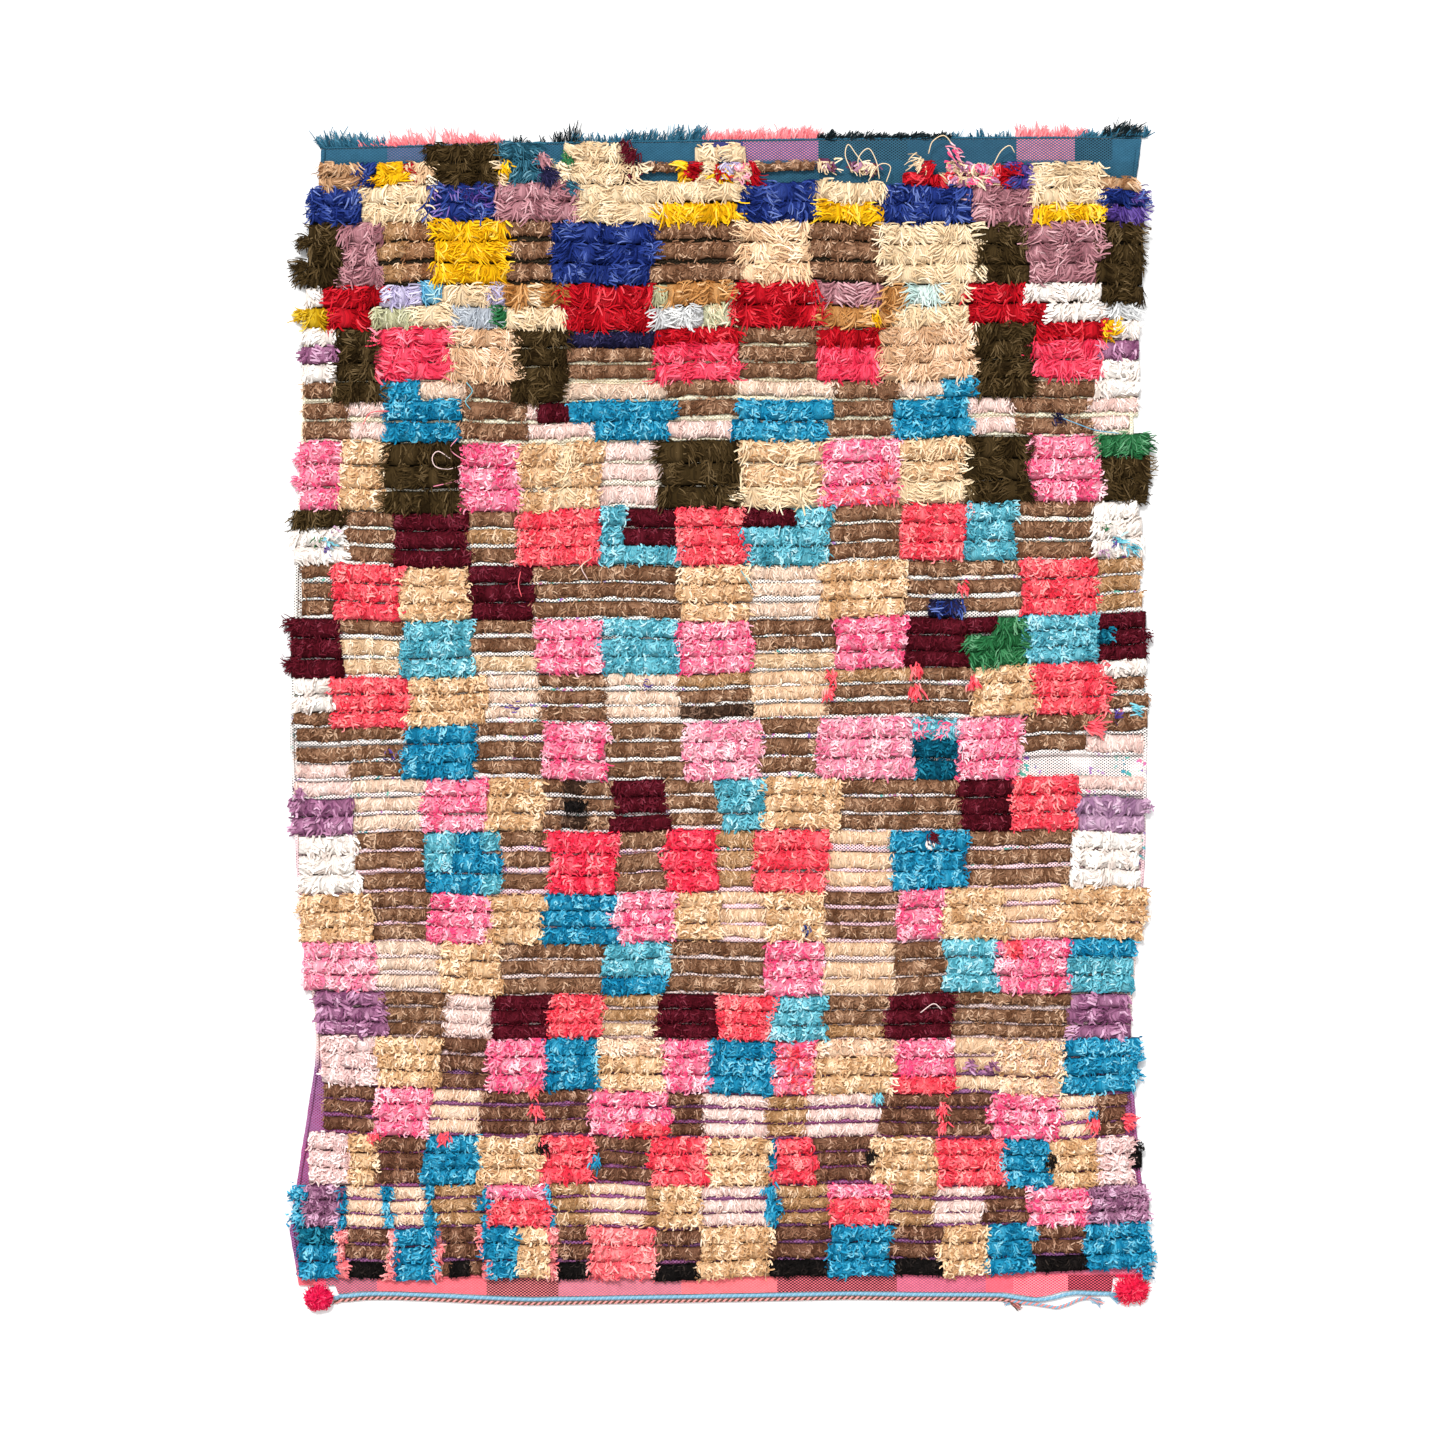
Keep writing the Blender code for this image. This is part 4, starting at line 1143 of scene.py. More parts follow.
def lay_strips(pile, name, kind, count, top, bottom, first, last, seeds, chance):
    """Lays one yarn's strips over one block of one row."""
    row_seed, lie_seed, shade_seed = seeds
    top_rim = RIM_SHARE if top[0] <= BANDS[1].left else 0.0
    low_rim = RIM_SHARE if bottom[0] > PILE_END[0] - 1.0 else 0.0
    across = first + (last - first) * (np.arange(count) + chance.random(count)) / count
    knots = max(1, int(round((last - first) / kind.tuft)))
    root = chance.uniform(ROOT_FROM - top_rim, ROOT_TO, count)
    place = (across - first) / (last - first) * knots + KNOT_SLANT * (root - KNOT_ROOT)
    number = np.clip(place.astype(int), 0, knots - 1)
    aside = np.clip(place - number - 0.5, -0.5, 0.5)
    turn, lift, tone, swirl, drop = chance.normal(0.0, 1.0, (5, knots))[:, number]
    top_y, reach = row_place(top, bottom, across, kind, row_seed)

    lean = kind.lean * slow_wave(across, LIE_CM, np.random.default_rng(lie_seed))
    fan = np.exp(-(last - across) / FAN_CM) - np.exp(-(across - first) / FAN_CM)
    heading = chance.normal(0.0, kind.vary, count) + kind.turn * turn + lean + kind.fan * fan
    curl = kind.curl * (OWN_SHARE * chance.normal(0.0, 1.0, count) + KNOT_SHARE * swirl)
    length = kind.length * chance.uniform(LENGTH_LOW, LENGTH_HIGH, count)
    x, y = strip_paths((world_x(across), top_y - root * reach), heading, curl, length, kind.points)
    steps = np.linspace(0.0, 1.0, kind.points)
    x = x - kind.pinch * (aside * kind.tuft * CM)[:, None] * steps[None, :]
    unevenness = kind.edge * (OWN_SHARE * chance.normal(0.0, 1.0, count) + KNOT_SHARE * drop)
    lowest = top_y - reach * (kind.over + low_rim + unevenness)
    y = np.clip(y, lowest[:, None], (top_y + EDGE_ABOVE + top_rim * reach)[:, None])

    through = np.clip((top_y[:, None] - y) / reach[:, None], *ROW_INSIDE)
    layer = chance.random(count)[:, None]
    z = row_profile(through, kind.roundness) * chance.uniform(*STRIP_HEIGHTS, count)[:, None]
    z = GROUND + kind.height * z
    hump = LOFT_HUMP * np.sin(math.pi * HUMP_TURN * steps)
    z += kind.loft * (LOFT_LEAST + layer * (LOFT_LAYER + hump))
    z += (kind.clump * (np.clip(lift, -CLUMP_LIMIT, CLUMP_LIMIT) - CLUMP_ROUND * aside**2))[:, None]
    z = np.minimum(z, STRIP_LIMIT)
    if top_rim or low_rim:
        outside = (y - top_y[:, None]) if top_rim else (top_y - reach)[:, None] - y
        z -= (z - GROUND - RIM_REST) * np.clip(outside / RIM_DROP, 0.0, 1.0)

    widths = kind.width * chance.uniform(*STRIP_WIDTHS, count)[:, None] * narrowed(kind.points)
    # Painted shade: strips darker between two knots, besides the row's slow change of shade and the knots'
    # own tones
    shifts = shade_wave(across, shade_seed) + kind.tone * tone - KNOT_GAP_SHADE * 4 * aside**2
    shade = shade_place(name, chance, shifts, kind.spread)
    # Painted light and shade: lighter to the tip and on the topmost strips, darker on the lowest
    inside = TIP_PAINTED_LIGHT * (steps - SHADE_AT)[None, :] + LAYER_PAINTED_SHADE * (layer - 0.5)
    # Painted shade in the creases at the row's low and top edges
    inside = inside - kind.crease * np.clip((through - CREASE_LOW) / CREASE_LOW_OVER, 0, 1)
    at_top = np.clip((CREASE_TOP - through) / CREASE_TOP_OVER, 0, 1)
    inside = inside - CREASE_TOP_SHARE * kind.crease * at_top
    shades = on_card(name, shade[:, None] + card_share(name, 1.0) * inside)
    add_strips(pile, np.stack((x, y, z), -1), widths, shades, chance)


def add_shot(shots, top, bottom, first, last, kind, seed, chance):
    """The shots of weft packed below one block's low row: a closed ridge as wide as the gap."""
    across = np.linspace(first, last, max(2, int((last - first) / SHOT_STEP_CM) + 2))
    top_y, reach = row_place(top, bottom, across, kind, seed)
    upper = top_y - reach + SHOT_TUCK
    lower = world_y(row_level(bottom, across, share_at(across, bowed(bottom, 0.5)))) - SHOT_TUCK
    lower = np.minimum(lower, upper - 2 * SHOT_TUCK)
    high = np.interp(top[0], SHOT_DOWN, SHOT_HEIGHT) * chance.uniform(*SHOT_VARY, len(across))
    low = np.full_like(high, GROUND / 2)
    x = world_x(across)
    middle = 0.5 * (upper + lower)
    half = SHOT_FLAT * (upper - lower)
    ring = ((x, upper, low), (x, middle + half, high), (x, middle - half, high), (x, lower, low))
    points = np.stack([np.stack(corner, -1) for corner in ring], axis=1)
    shots.add(points.reshape(-1, 3), ring_faces(len(across), len(ring)))


def strip_paths(start_at, heading, curl, length, points):
    """Paths of strips seen from above: each turns steadily by its curl from its own heading."""
    count = len(heading)
    steps = np.linspace(0.0, 1.0, points)
    turn = heading[:, None] + curl[:, None] * (steps[None, :-1] - CURL_AT)
    stride = (length / (points - 1))[:, None]
    still = np.zeros((count, 1))
    dx = np.concatenate((still, np.cumsum(np.sin(turn) * stride, axis=1)), axis=1)
    dy = np.concatenate((still, np.cumsum(-np.cos(turn) * stride, axis=1)), axis=1)
    return start_at[0][:, None] + dx, start_at[1][:, None] + dy


def lay_bit(piles, bit, chance):
    """A small tuft of another yarn, on the pile or past the rug's side."""
    yarn = YARNS[bit.yarn]
    kind = KINDS[yarn.kind]
    pile = piles.setdefault(yarn.piece, Pile())
    count = int(bit.strips)
    across = bit.across + chance.normal(0.0, BIT_SPREAD_CM, count)
    down = bit.down + chance.normal(0.0, BIT_SPREAD_CM, count)
    heading = bit.heading + chance.normal(0.0, BIT_VARY, count)
    curl = chance.normal(0.0, BIT_CURL, count)
    length = bit.length * CM * chance.uniform(*BIT_LENGTHS, count)
    x, y = strip_paths((world_x(across), world_y(down)), heading, curl, length, BIT_POINTS)
    steps = np.linspace(0.0, 1.0, BIT_POINTS)
    hump = BIT_HUMP * np.sin(math.pi * steps)[None, :]
    rest = PILE_TOP if bit.place == "pile" else FLOOR_REST
    layer = BIT_LAYER * chance.random(count)[:, None]
    z = PILE_TOP - BIT_SINK + (rest - PILE_TOP) * steps[None, :] ** BIT_SLOPE + hump + layer
    widths = kind.width * chance.uniform(*BIT_WIDTHS, count)
    add_locks(pile, bit.yarn, np.stack((x, y, z), -1), widths, np.zeros(count), kind.spread, chance)


def smooth_line(points, step):
    """A smooth line through points (n, 2), with a point about every step."""
    padded = np.concatenate((2 * points[:1] - points[1:2], points, 2 * points[-1:] - points[-2:-1]))
    line = []
    for a, b, c, d in zip(padded, padded[1:], padded[2:], padded[3:]):
        pieces = max(2, int(np.linalg.norm(c - b) / step))
        bend = 2 * a - 5 * b + 4 * c - d
        twist = 3 * b - a - 3 * c + d
        for t in np.arange(pieces) / pieces:
            line.append(0.5 * (2 * b + (c - a) * t + bend * t**2 + twist * t**3))
    line.append(points[-1])
    return np.array(line)


def lay_thread(piles, row, chance):
    """A loose thread or loop that lies on the pile."""
    yarn, *places = row.split()
    pile = piles.setdefault(YARNS[yarn].piece, Pile())
    points = np.array([[float(number) for number in place.split(",")] for place in places])
    line = smooth_line(points, THREAD_STEP_CM)
    z = PILE_TOP + THREAD_REST + THREAD_HUMP * np.sin(math.pi * np.linspace(0.0, 1.0, len(line)))
    path = np.stack((world_x(line[:, 0]), world_y(line[:, 1]), z), -1)
    shade = one_shade(yarn, chance, THREAD_SPREAD)
    add_tube(pile, path, THREAD_RADIUS, THREAD_SIDES, shade, *THREAD_CARD)


class Maker:
    """Short ways to add a material's nodes. A value is a number, a colour or another node's socket."""

    def __init__(self, name):
        self.material = bpy.data.materials.new(name)
        self.material.use_nodes = True
        self.tree = self.material.node_tree
        self.shader = self.tree.nodes["Principled BSDF"]

    def feed(self, socket, value):
        if isinstance(value, bpy.types.NodeSocket):
            self.tree.links.new(value, socket)
        else:
            socket.default_value = value

    def node(self, kind, values=None, **settings):
        """Adds a node with its settings, and a value for each input named or numbered."""
        made = self.tree.nodes.new("ShaderNode" + kind)
        for setting, value in settings.items():
            setattr(made, setting, value)
        for socket, value in (values or {}).items():
            self.feed(made.inputs[socket], value)
        return made

    def maths(self, operation, *values):
        return self.node("Math", dict(enumerate(values)), operation=operation).outputs[0]

    def level(self, value, low, high, to_low=0.0, to_high=1.0, steps="LINEAR"):
        values = {"Value": value, "From Min": low, "From Max": high, "To Min": to_low, "To Max": to_high}
        return self.node("MapRange", values, interpolation_type=steps).outputs["Result"]

    def spread(self, *values):
        return self.level(*values, steps="SMOOTHSTEP")

    def split(self, vector):
        outputs = self.node("SeparateXYZ", {0: vector}).outputs
        return outputs["X"], outputs["Y"]

    def ramp(self, factor, stops, interpolation="LINEAR"):
        node = self.node("ValToRGB", {"Fac": factor})
        node.color_ramp.interpolation = interpolation
        elements = node.color_ramp.elements
        elements[0].position = stops[0][0]
        elements[1].position = stops[-1][0]
        for place, _ in stops[1:-1]:
            elements.new(place)
        for element, (_, colour) in zip(elements, stops):
            element.color = (*screen_colour(colour), 1.0)
        return node.outputs["Color"]

    def mix(self, factor, first, second):
        return self.node("Mix", {0: factor, 6: first, 7: second}, data_type="RGBA").outputs[2]

    def noise(self, vector, scale, detail=2.0):
        values = {"Vector": vector, "Scale": scale, "Detail": detail}
        return self.node("TexNoise", values).outputs["Fac"]

    def relief(self, height, distance, strength):
        values = {"Height": height, "Distance": distance, "Strength": strength}
        self.feed(self.shader.inputs["Normal"], self.node("Bump", values).outputs["Normal"])

    def finish(self, colour, light):
        """Cloth of a colour, made lighter or darker from place to place: painted root shade and streaks on a
        yarn, uneven fibres and mottles on the weave.
        """
        values = {0: colour, "Scale": light}
        shaded = self.node("VectorMath", values, operation="SCALE").outputs["Vector"]
        self.feed(self.shader.inputs["Base Color"], shaded)
        self.feed(self.shader.inputs["Roughness"], CLOTH_ROUGHNESS)
        self.feed(self.shader.inputs["Specular IOR Level"], CLOTH_SHINE)
        return self.material


def screen_colour(colour):
    """A screen colour from 0 to 255 as the linear colour that Blender's sockets hold."""
    return tuple((c / 255 / 12.92) if c <= 10 else ((c / 255 + 0.055) / 1.055) ** 2.4 for c in colour)


def card_material(piece):
    """Yarn: its colour read off a card by u, with painted shade darker at the root, by v, and fine streaks.
    """
    work = Maker(piece)
    names = piece_yarns(piece)
    stops = [
        ((number + place) / len(names), colour)
        for number, name in enumerate(names)
        for place, colour in zip(SHADE_STOPS, YARNS[name][-4:])
    ]
    uv = work.node("UVMap", uv_map=UV_NAME).outputs["UV"]
    u, v = work.split(uv)
    # Painted shade: the card is darker where v is low, at the strips' roots and over the knots
    depth = work.spread(v, 0.0, ROOT_SHADE_END, ROOT_SHADE_GAIN, 1.0)
    stretched = work.node("VectorMath", {0: uv, 1: STREAKS}, operation="MULTIPLY").outputs["Vector"]
    streak = work.level(work.noise(stretched, 1.0, 1.0), *STREAK_LEVELS)
    strength = work.level(v, CORE_LIGHT, STREAK_END, CORE_STREAK, STRIP_STREAK)
    gain = work.maths("MULTIPLY", depth, work.maths("MULTIPLY_ADD", streak, strength, 1.0))
    return work.finish(work.ramp(u, stops), gain)


def hem_ramp(work, across, stretches, column):
    """A hem's colours from left to right, one step for each stretch."""
    last = stretches[-1].end
    starts = [EDGE_LEFT, *(stretch.end for stretch in stretches[:-1])]
    places = [(start - EDGE_LEFT) / (last - EDGE_LEFT) for start in starts]
    return work.ramp(across, [(p, s[column]) for p, s in zip(places, stretches)], "CONSTANT")


def below(work, y, down, reach, high=0.0, low=1.0):
    """Changes from one value above a line down the rug to another below it, over a reach in cm."""
    return work.spread(y, float(world_y(down + reach)), float(world_y(down - reach)), low, high)


def weave_material():
    """Plain weave: weft colours change down the rug and along its hems, and warp ends show as dots."""
    work = Maker("weave")
    place = work.node("TexCoord").outputs["Object"]
    x, y = work.split(place)
    wave_x = work.maths("SINE", work.maths("MULTIPLY", x, math.pi / WEAVE_ACROSS))
    wave_y = work.maths("SINE", work.maths("MULTIPLY", y, math.pi / WEAVE_DOWN))
    lattice = work.maths("MULTIPLY", wave_x, wave_y)
    first = WEFT[0].down
    last = WEFT[-1].down
    down = work.level(y, float(world_y(first)), float(world_y(last)))
    places = [(w.down - first) / (last - first) for w in WEFT]
    weft = work.ramp(down, [(p, w.weft) for p, w in zip(places, WEFT)])
    dot = work.ramp(down, [(p, w.dots) for p, w in zip(places, WEFT)])
    across = work.level(x, float(world_x(EDGE_LEFT)), float(world_x(TOP_STRETCHES[-1].end)))
    at_top = below(work, y, TOP_HEM_END, TOP_HEM_FADE, 1.0, 0.0)
    at_bottom = below(work, y, BOTTOM_HEM_START, BOTTOM_HEM_FADE)
    patches = work.spread(work.noise(place, PATCH_SCALE), *DOT_PATCHES, DOT_LEAST, 1.0)
    large_dots = work.maths("MULTIPLY", work.spread(lattice, *HEM_DOT_EDGE), at_bottom)
    dots = work.spread(lattice, *DOT_EDGE)
    dots = work.maths("MULTIPLY", dots, work.maths("MAXIMUM", patches, at_top))
    dots = work.maths("MAXIMUM", dots, large_dots)
    for stretches, here in ((TOP_STRETCHES, at_top), (BOTTOM_STRETCHES, at_bottom)):
        weft = work.mix(here, weft, hem_ramp(work, across, stretches, 1))
        dot = work.mix(here, dot, hem_ramp(work, across, stretches, 2))
    # Dots: the warp's own colour, or painted shade of the weave where only a little darker than the weft
    colour = work.mix(dots, weft, dot)
    start, end = WEFT_BITS_DOWN
    after_start = below(work, y, start, BITS_FADE_CM)
    middle = work.maths("MULTIPLY", after_start, below(work, y, end, BITS_FADE_CM, 1.0, 0.0))
    bits = work.maths("MULTIPLY", work.spread(work.noise(place, BITS_SCALE, 1.0), *BITS_EDGE), middle)
    bits = work.maths("MULTIPLY", bits, work.spread(work.noise(place, CLUSTER_SCALE), *CLUSTER_EDGE))
    colour = work.mix(bits, colour, work.ramp(work.noise(place, TINT_SCALE), WEFT_BITS))
    fibre = work.noise(place, FIBRE_SCALE)
    mottle = work.spread(work.noise(place, MOTTLE_SCALE), *MOTTLE_LIGHT)
    light = work.maths("ADD", work.spread(fibre, *FIBRE_LIGHT), mottle)
    height = work.maths("ADD", lattice, work.maths("MULTIPLY", fibre, FIBRE_RELIEF))
    work.relief(height, RELIEF_DEPTH, RELIEF_STRENGTH)
    return work.finish(colour, light)


def add_piece(name, mesh, material, replaces=None):
    """Links a piece, and lets it ride on the rug."""
    mesh.materials.append(material)
    piece = bpy.data.objects.new(name, mesh)
    bpy.context.scene.collection.objects.link(piece)
    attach(piece, "root")
    if replaces:
        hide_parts(replaces)
    return piece


def add_yarn_piece(name, pile, replaces=None):
    """A piece of yarn, with its card of colours."""
    return add_piece(name, pile.mesh(name), card_material(name), replaces)


def build_pile(weave):
    """The knotted pile, one piece for each family of yarns, and the weft between its low rows."""
    chance = np.random.default_rng(SEED)
    piles = {}
    shots = Pile()
    for block in block_rows(chance):
        lay_block(piles, shots, *block, chance)
    for bit in BITS:
        lay_bit(piles, bit, chance)
    for row in THREADS.strip().splitlines():
        lay_thread(piles, row, chance)
    pieces = [add_yarn_piece(name, piles[name]) for name in sorted(piles)]
    return [*pieces, add_piece("shots", shots.mesh("shots", False), weave)]


def ground_mesh():
    """The woven cloth: a thin closed sheet with the outline of the part."""
    low, high = edge_at(CORNER_DOWN, 1), edge_at(CORNER_DOWN, 2)
    plain = np.arange(HEM_ACROSS[0], HEM_ACROSS[-1], GROUND_COLUMN_CM)
    stations = np.unique(np.clip(np.concatenate((plain, HEM_ACROSS, (low, high))), low, high))
    shares = (stations - low) / (high - low)
    top_line = bowed(TOP_HEM, shares)
    bottom_line = np.interp(stations, HEM_ACROSS, HEM_DOWN)
    down = top_line[None, :] + (bottom_line - top_line)[None, :] * np.linspace(0.0, 1.0, GROUND_ROWS)[:, None]
    left = edge_at(down, 1)
    across = left + (edge_at(down, 2) - left) * shares[None, :]
    ripple = HEM_RIPPLE * sum(np.sin(across * wide + down * deep) for wide, deep in RIPPLES)
    top = np.stack((world_x(across), world_y(down), GROUND + ripple), -1).reshape(-1, 3)
    count = len(top)
    index = np.arange(count).reshape(down.shape)
    quads = np.stack((index[:-1, :-1], index[1:, :-1], index[1:, 1:], index[:-1, 1:]), -1).reshape(-1, 4)
    rim = np.concatenate((index[0, :-1], index[:-1, -1], index[-1, :0:-1], index[:0:-1, 0]))
    after = np.roll(rim, -1)
    sides = np.stack((rim, after, after + count, rim + count), -1)
    faces = np.concatenate((quads, quads[:, ::-1] + count, sides))
    mesh = bpy.data.meshes.new("ground")
    mesh.from_pydata(np.concatenate((top, top * (1.0, 1.0, 0.0))).tolist(), [], faces.tolist())
    mesh.validate()
    return mesh


def build_selvedges(material):
    """The bound edges: a lumpy cord of weft turns along each side."""
    pile = Pile()
    down = np.arange(TOP_HEM[0], SELVEDGE_END, SELVEDGE_STEP_CM)
    lump = 1 + SELVEDGE_LUMP * np.sin(math.tau * down / SELVEDGE_PITCH_CM)
    lump *= sum((share * np.sin(down * pace) for share, pace in SELVEDGE_SWELLS), 1)
    for side, inward in ((1, SELVEDGE), (2, -SELVEDGE)):
        x = world_x(edge_at(down, side)) + inward
        path = np.stack((x, world_y(down), np.full_like(x, SELVEDGE_REST)), -1)
        add_tube(pile, path, SELVEDGE * lump, SELVEDGE_SIDES, 0.0)
    return add_piece("selvedges", pile.mesh("selvedges", False), material)


def add_rope(pile, route, radius, twist, shades):
    """Two plies twisted round each other along a route (rings, 3)."""
    side, upward = sides_along(route)
    length = np.concatenate(([0.0], np.cumsum(np.linalg.norm(np.diff(route, axis=0), axis=1))))
    for ply, shade in enumerate(shades):
        turn = math.tau * length / twist + math.pi * ply
        centre = route + PLY_OUT * radius * (np.cos(turn)[:, None] * side + np.sin(turn)[:, None] * upward)
        add_tube(pile, centre, radius * PLY_RADIUS, PLY_SIDES, shade, *PLY_CARD)


def top_line_y(across):
    """The top hem's line, in metres."""
    return world_y(bowed(TOP_HEM, share_at(across, -1.0)))


def build_fringe():
    """The twined edge of the top hem and the cut ends of yarn that lie beyond it."""
    chance = np.random.default_rng(SEED + 3)
    pile = Pile()
    steps = np.linspace(0.0, 1.0, FRINGE_POINTS)
    for run in FRINGE_RUNS:
        count = int((run.end - run.start) * CM * run.per_metre)
        across = run.start + (run.end - run.start) * chance.random(count)
        bunch = slow_wave(across, BUNCH_CM, chance)
        heading = math.pi - run.lean - BUNCH_TURN * bunch + chance.normal(0.0, FRINGE_VARY, count)
        curl = chance.normal(0.0, FRINGE_CURL, count)
        taper = run.length + (run.end_length - run.length) * (across - run.start) / (run.end - run.start)
        length = taper * chance.uniform(*FRINGE_LENGTHS, count) * (1 + BUNCH_LENGTH * bunch)
        start_at = (world_x(across), top_line_y(across) + GAP + FRINGE_START)
        x, y = strip_paths(start_at, heading, curl, length, FRINGE_POINTS)
        layer = chance.random(count)[:, None]
        z = FRINGE_REST + FRINGE_LIFT * layer * (FRINGE_LEAST + np.sin(math.pi * HUMP_TURN * steps))
        widths = FRINGE_WIDTH * chance.uniform(*FRINGE_WIDTHS, count)
        paths = np.stack((x, np.minimum(y, TOP_LIMIT), z), -1)
        add_locks(pile, run.yarn, paths, widths, BUNCH_SHADE * bunch, FRINGE_SPREAD, chance)
    across = np.arange(TWINE_FROM_CM, TWINE_TO_CM, ROPE_STEP_CM)
    y = top_line_y(across) + GAP + TWINE_RADIUS
    route = np.stack((world_x(across), y, np.full_like(across, TWINE_RADIUS)), -1)
    shades = shade_place("edgeteal", chance, np.zeros(2), TWINE_SPREAD)
    add_rope(pile, route, TWINE_RADIUS, TWINE_TWIST, shades)
    return add_yarn_piece("fringe", pile, "top_fringe")


def hem_down(across):
    """How far down a cord lies there, as in the part."""
    near = (-CORD_STEP / 2, 0.0, CORD_STEP / 2)
    places = [np.clip(across + offset, INNER_CORD.start, INNER_CORD.end) for offset in near]
    return np.max([np.interp(place, HEM_ACROSS, HEM_DOWN) for place in places], axis=0)


def cord_route(cord, away):
    """The part's own route of a cord, with a point about every ROPE_STEP_CM."""
    count = round((cord.end - cord.start) / CORD_STEP)
    coarse = np.linspace(cord.start, cord.end, count + 1)
    offset = np.clip((coarse - SAG_CENTRE) / SAG_HALF_WIDTH, -1.0, 1.0)
    y = world_y(hem_down(coarse)) - away - cord.sag * (0.5 + 0.5 * np.cos(math.pi * offset))
    across = np.arange(cord.start, cord.end, ROPE_STEP_CM)
    lift = np.full_like(across, cord.radius)
    return np.stack((world_x(across), np.interp(across, coarse, y), lift), -1), across


def add_fray(pile, yarn, at, heading, length, count, chance):
    """Loose ends that lie on the floor from one place on a cord."""
    headings = heading + chance.normal(0.0, FRAY_VARY, count)
    start_at = [at[side] + chance.normal(0.0, apart, count) for side, apart in enumerate(FRAY_APART)]
    curl = chance.normal(0.0, FRAY_CURL, count)
    lengths = length * chance.uniform(*FRAY_LENGTHS, count)
    x, y = strip_paths(start_at, headings, curl, lengths, FRAY_POINTS)
    steps = np.linspace(0.0, 1.0, FRAY_POINTS)
    z = at[2] + (FRAY_END - at[2]) * steps[None, :] + FRAY_LAYER * chance.random((count, 1))
    widths = np.full(count, FRAY_WIDTH)
    paths = np.stack((x, y, z), -1)
    add_locks(pile, yarn, paths, widths, np.zeros(count), FRAY_SPREAD, chance, 0.0)


def build_cord(cord, away):
    """One twined cord along the bottom hem, its plies changing colour along it."""
    chance = np.random.default_rng(SEED + 4)
    route, across = cord_route(cord, away)
    pile = Pile()
    start = cord.start - 1.0
    for end, *yarns in cord.plies:
        here = route[(across >= start) & (across <= end)]
        add_rope(pile, here, cord.radius, TWIST, [one_shade(yarn, chance, PLY_SPREAD) for yarn in yarns])
        for yarn in yarns:
            add_fray(pile, yarn, here[-1], FRAY_HEADING, FRAY_LENGTH, FRAY_STRIPS, chance)
            add_fray(pile, yarn, here[0], -FRAY_HEADING, 0.5 * FRAY_LENGTH, FRAY_STRIPS // 2, chance)
        start = end
    return add_yarn_piece(cord.name, pile, cord.replaces)


def add_ball(pile, middle, half, shade):
    """Adds an egg-shaped ball with its own flat shade."""
    lifts = np.linspace(-BALL_END, BALL_END, BALL_RINGS)
    turns = math.tau * np.arange(BALL_SIDES) / BALL_SIDES
    flat = np.cos(lifts)[:, None]
    shape = np.stack((flat * np.cos(turns), flat * np.sin(turns), np.sin(lifts)[:, None] + 0 * turns), -1)
    faces = ring_faces(BALL_RINGS, BALL_SIDES)
    after = shade + SHADE_WIDTH
    corners = np.array(((shade, 0.0), (after, 0.0), (after, BALL_CARD), (shade, BALL_CARD)))
    uv = np.broadcast_to(corners, (len(faces[0]), 4, 2))
    cap_uv = cap_place(turns, shade, 0.0, BALL_CARD)
    pile.add((middle + half * shape).reshape(-1, 3), faces, [uv, cap_uv, cap_uv])


def tuft_loop(tuft, middle, half, chance):
    """The path of one loop of yarn, wandering over a tuft's ball."""
    turn = chance.uniform(0, math.tau)
    lift = chance.uniform(LOOP_LOW, 1.0)
    flat = math.sqrt(1 - lift**2)
    at = np.array((flat * math.cos(turn), flat * math.sin(turn), lift))
    way = np.cross(at, chance.normal(size=3))
    way /= np.linalg.norm(way)
    depth = chance.uniform(BALL_SHARE, 1.0)
    line = []
    for _ in range(TUFT_LOOP_STEPS):
        place = middle + half * at * depth
        place[2] = max(place[2], TUFT_YARN_RADIUS + LOOP_REST)
        line.append(place)
        way = way + LOOP_WANDER * chance.normal(size=3)
        way -= at * np.dot(way, at)
        way /= np.linalg.norm(way)
        at = at + way * TUFT_LOOP_LENGTH / TUFT_LOOP_STEPS / tuft.half_x
        at /= np.linalg.norm(at)
    return np.array(line)


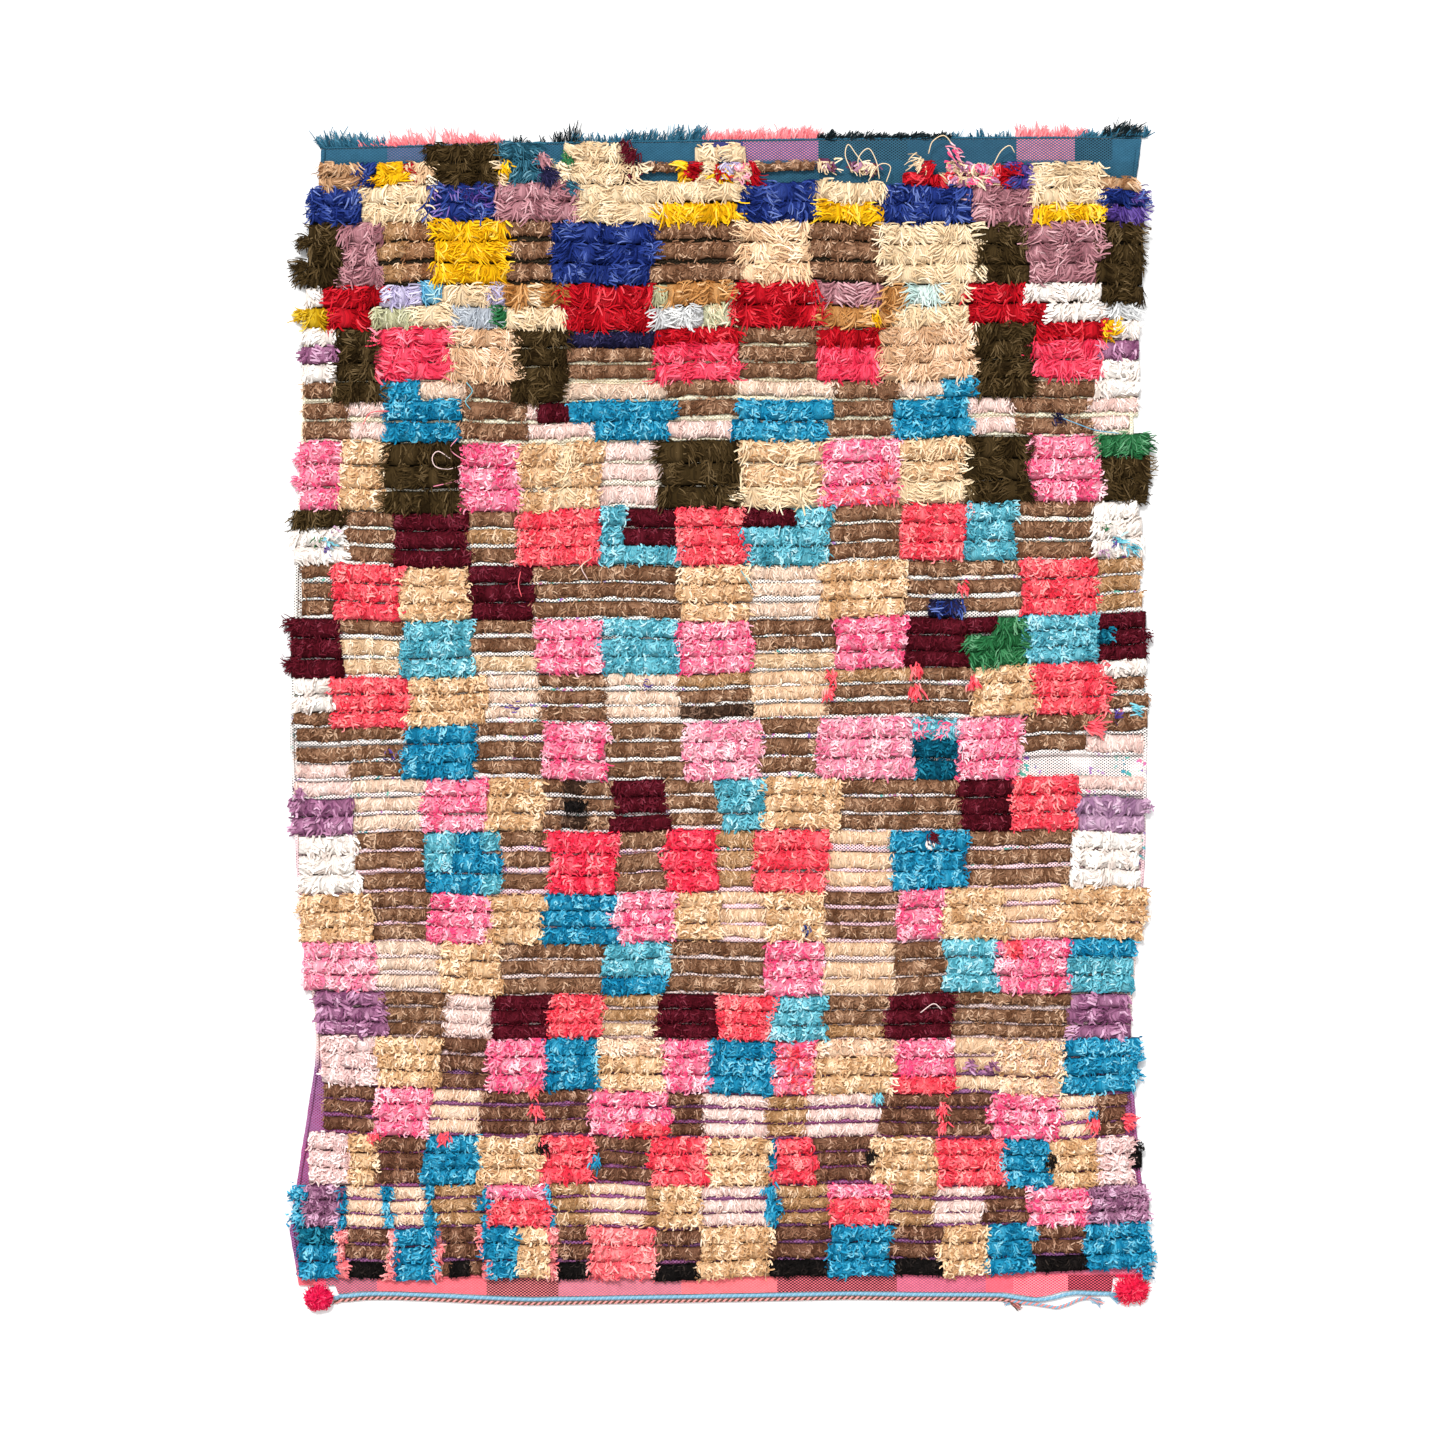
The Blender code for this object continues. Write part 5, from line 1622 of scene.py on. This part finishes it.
def build_tuft(tuft):
    """A bound tuft: a ball of yarn, loops wound over it, and cut ends that spread from it."""
    chance = np.random.default_rng(SEED + 5)
    pile = Pile()
    half = np.array((tuft.half_x, tuft.half_y, tuft.height / 2))
    hem_y = float(world_y(tuft.hem))
    middle = np.array((float(world_x(tuft.across)), hem_y - GAP - tuft.half_y, tuft.height / 2))
    add_ball(pile, middle, BALL_SHARE * half, float(on_card(tuft.yarn, np.zeros(1))[0]))
    for _ in range(TUFT_LOOPS):
        line = tuft_loop(tuft, middle, half, chance)
        shade = float(on_card(tuft.yarn, chance.uniform(*LOOP_SHADES)))
        add_tube(pile, line, TUFT_YARN_RADIUS, THREAD_SIDES, shade, *LOOP_CARD)
    count = TUFT_ENDS
    turns = chance.uniform(0, math.tau, count)
    outward = np.stack((np.cos(turns), np.sin(turns)), -1)
    start = middle[:2] + half[:2] * outward * chance.uniform(*TUFT_END_FROM, (count, 1))
    heading = np.arctan2(outward[:, 0], -outward[:, 1]) + chance.normal(0.0, TUFT_END_VARY, count)
    length = tuft.ends * chance.uniform(*TUFT_END_LENGTHS, count)
    curl = chance.normal(0.0, TUFT_END_CURL, count)
    x, y = strip_paths(start.T, heading, curl, length, TUFT_END_POINTS)
    y = np.maximum(y, BOTTOM_LIMIT)
    apart = np.hypot((x - middle[0]) / half[0], (y - middle[1]) / half[1])
    bulge = half[2] * np.sqrt(np.clip(1 - apart**2, 0.0, 1.0))
    z = middle[2] + bulge - middle[2] * np.clip(apart - TUFT_END_FALL, 0, 1)
    z = np.clip(z + TUFT_END_LAYER * chance.random((count, 1)), TUFT_END_REST, None)
    widths = TUFT_END_WIDTH * chance.uniform(*TUFT_END_WIDTHS, count)
    paths = np.stack((x, y, z), -1)
    add_locks(pile, tuft.yarn, paths, widths, np.zeros(count), TUFT_END_SPREAD, chance)
    return add_yarn_piece(tuft.name, pile, tuft.replaces)


def build_stage():
    """A plain white floor and soft studio light."""
    mesh = bpy.data.meshes.new("floor")
    low, high = -FLOOR_REACH, FLOOR_REACH
    corners = [(low, low, 0), (high, low, 0), (high, high, 0), (low, high, 0)]
    mesh.from_pydata(corners, [], [(0, 1, 2, 3)])
    work = Maker("floor")
    work.feed(work.shader.inputs["Base Color"], (FLOOR_GREY, FLOOR_GREY, FLOOR_GREY, 1.0))
    work.feed(work.shader.inputs["Roughness"], FLOOR_ROUGHNESS)
    mesh.materials.append(work.material)
    floor = bpy.data.objects.new("floor", mesh)
    floor.location.z = -FLOOR_DROP
    bpy.context.scene.collection.objects.link(floor)
    world = bpy.data.worlds.new("studio")
    bpy.context.scene.world = world
    world.use_nodes = True
    back = world.node_tree.nodes["Background"]
    back.inputs["Color"].default_value = (1.0, 1.0, 1.0, 1.0)
    back.inputs["Strength"].default_value = ROUND_LIGHT
    sun = bpy.data.lights.new("key", "SUN")
    sun.energy = KEY_LIGHT
    sun.angle = math.radians(KEY_SOFTNESS)
    key = bpy.data.objects.new("key", sun)
    key.rotation_euler = [math.radians(turn) for turn in KEY_TILT]
    bpy.context.scene.collection.objects.link(key)
    bpy.context.scene.view_settings.view_transform = "Standard"


def build_camera():
    """Straight above, far enough back that the rug's outline shows no perspective."""
    lens = bpy.data.cameras.new("camera")
    camera = bpy.data.objects.new("camera", lens)
    lens.sensor_width = SENSOR
    lens.lens = SENSOR * CAMERA_HEIGHT / FRAME_WIDTH
    lens.clip_end = SIGHT
    camera.location = (float(world_x(FRAME_ACROSS)), float(world_y(FRAME_DOWN)), CAMERA_HEIGHT)
    bpy.context.scene.collection.objects.link(camera)
    bpy.context.scene.camera = camera


build_camera()
build_stage()
weave = weave_material()
ground = add_piece("ground", ground_mesh(), weave, "rug")
selvedges = build_selvedges(weave)
pile_pieces = build_pile(weave)
fringe = build_fringe()
inner_away = CORD_GAP + INNER_CORD.radius
outer_away = inner_away + INNER_CORD.radius + GAP + OUTER_CORD.radius
cords = [build_cord(INNER_CORD, inner_away), build_cord(OUTER_CORD, outer_away)]
tufts = [build_tuft(tuft) for tuft in TUFTS]
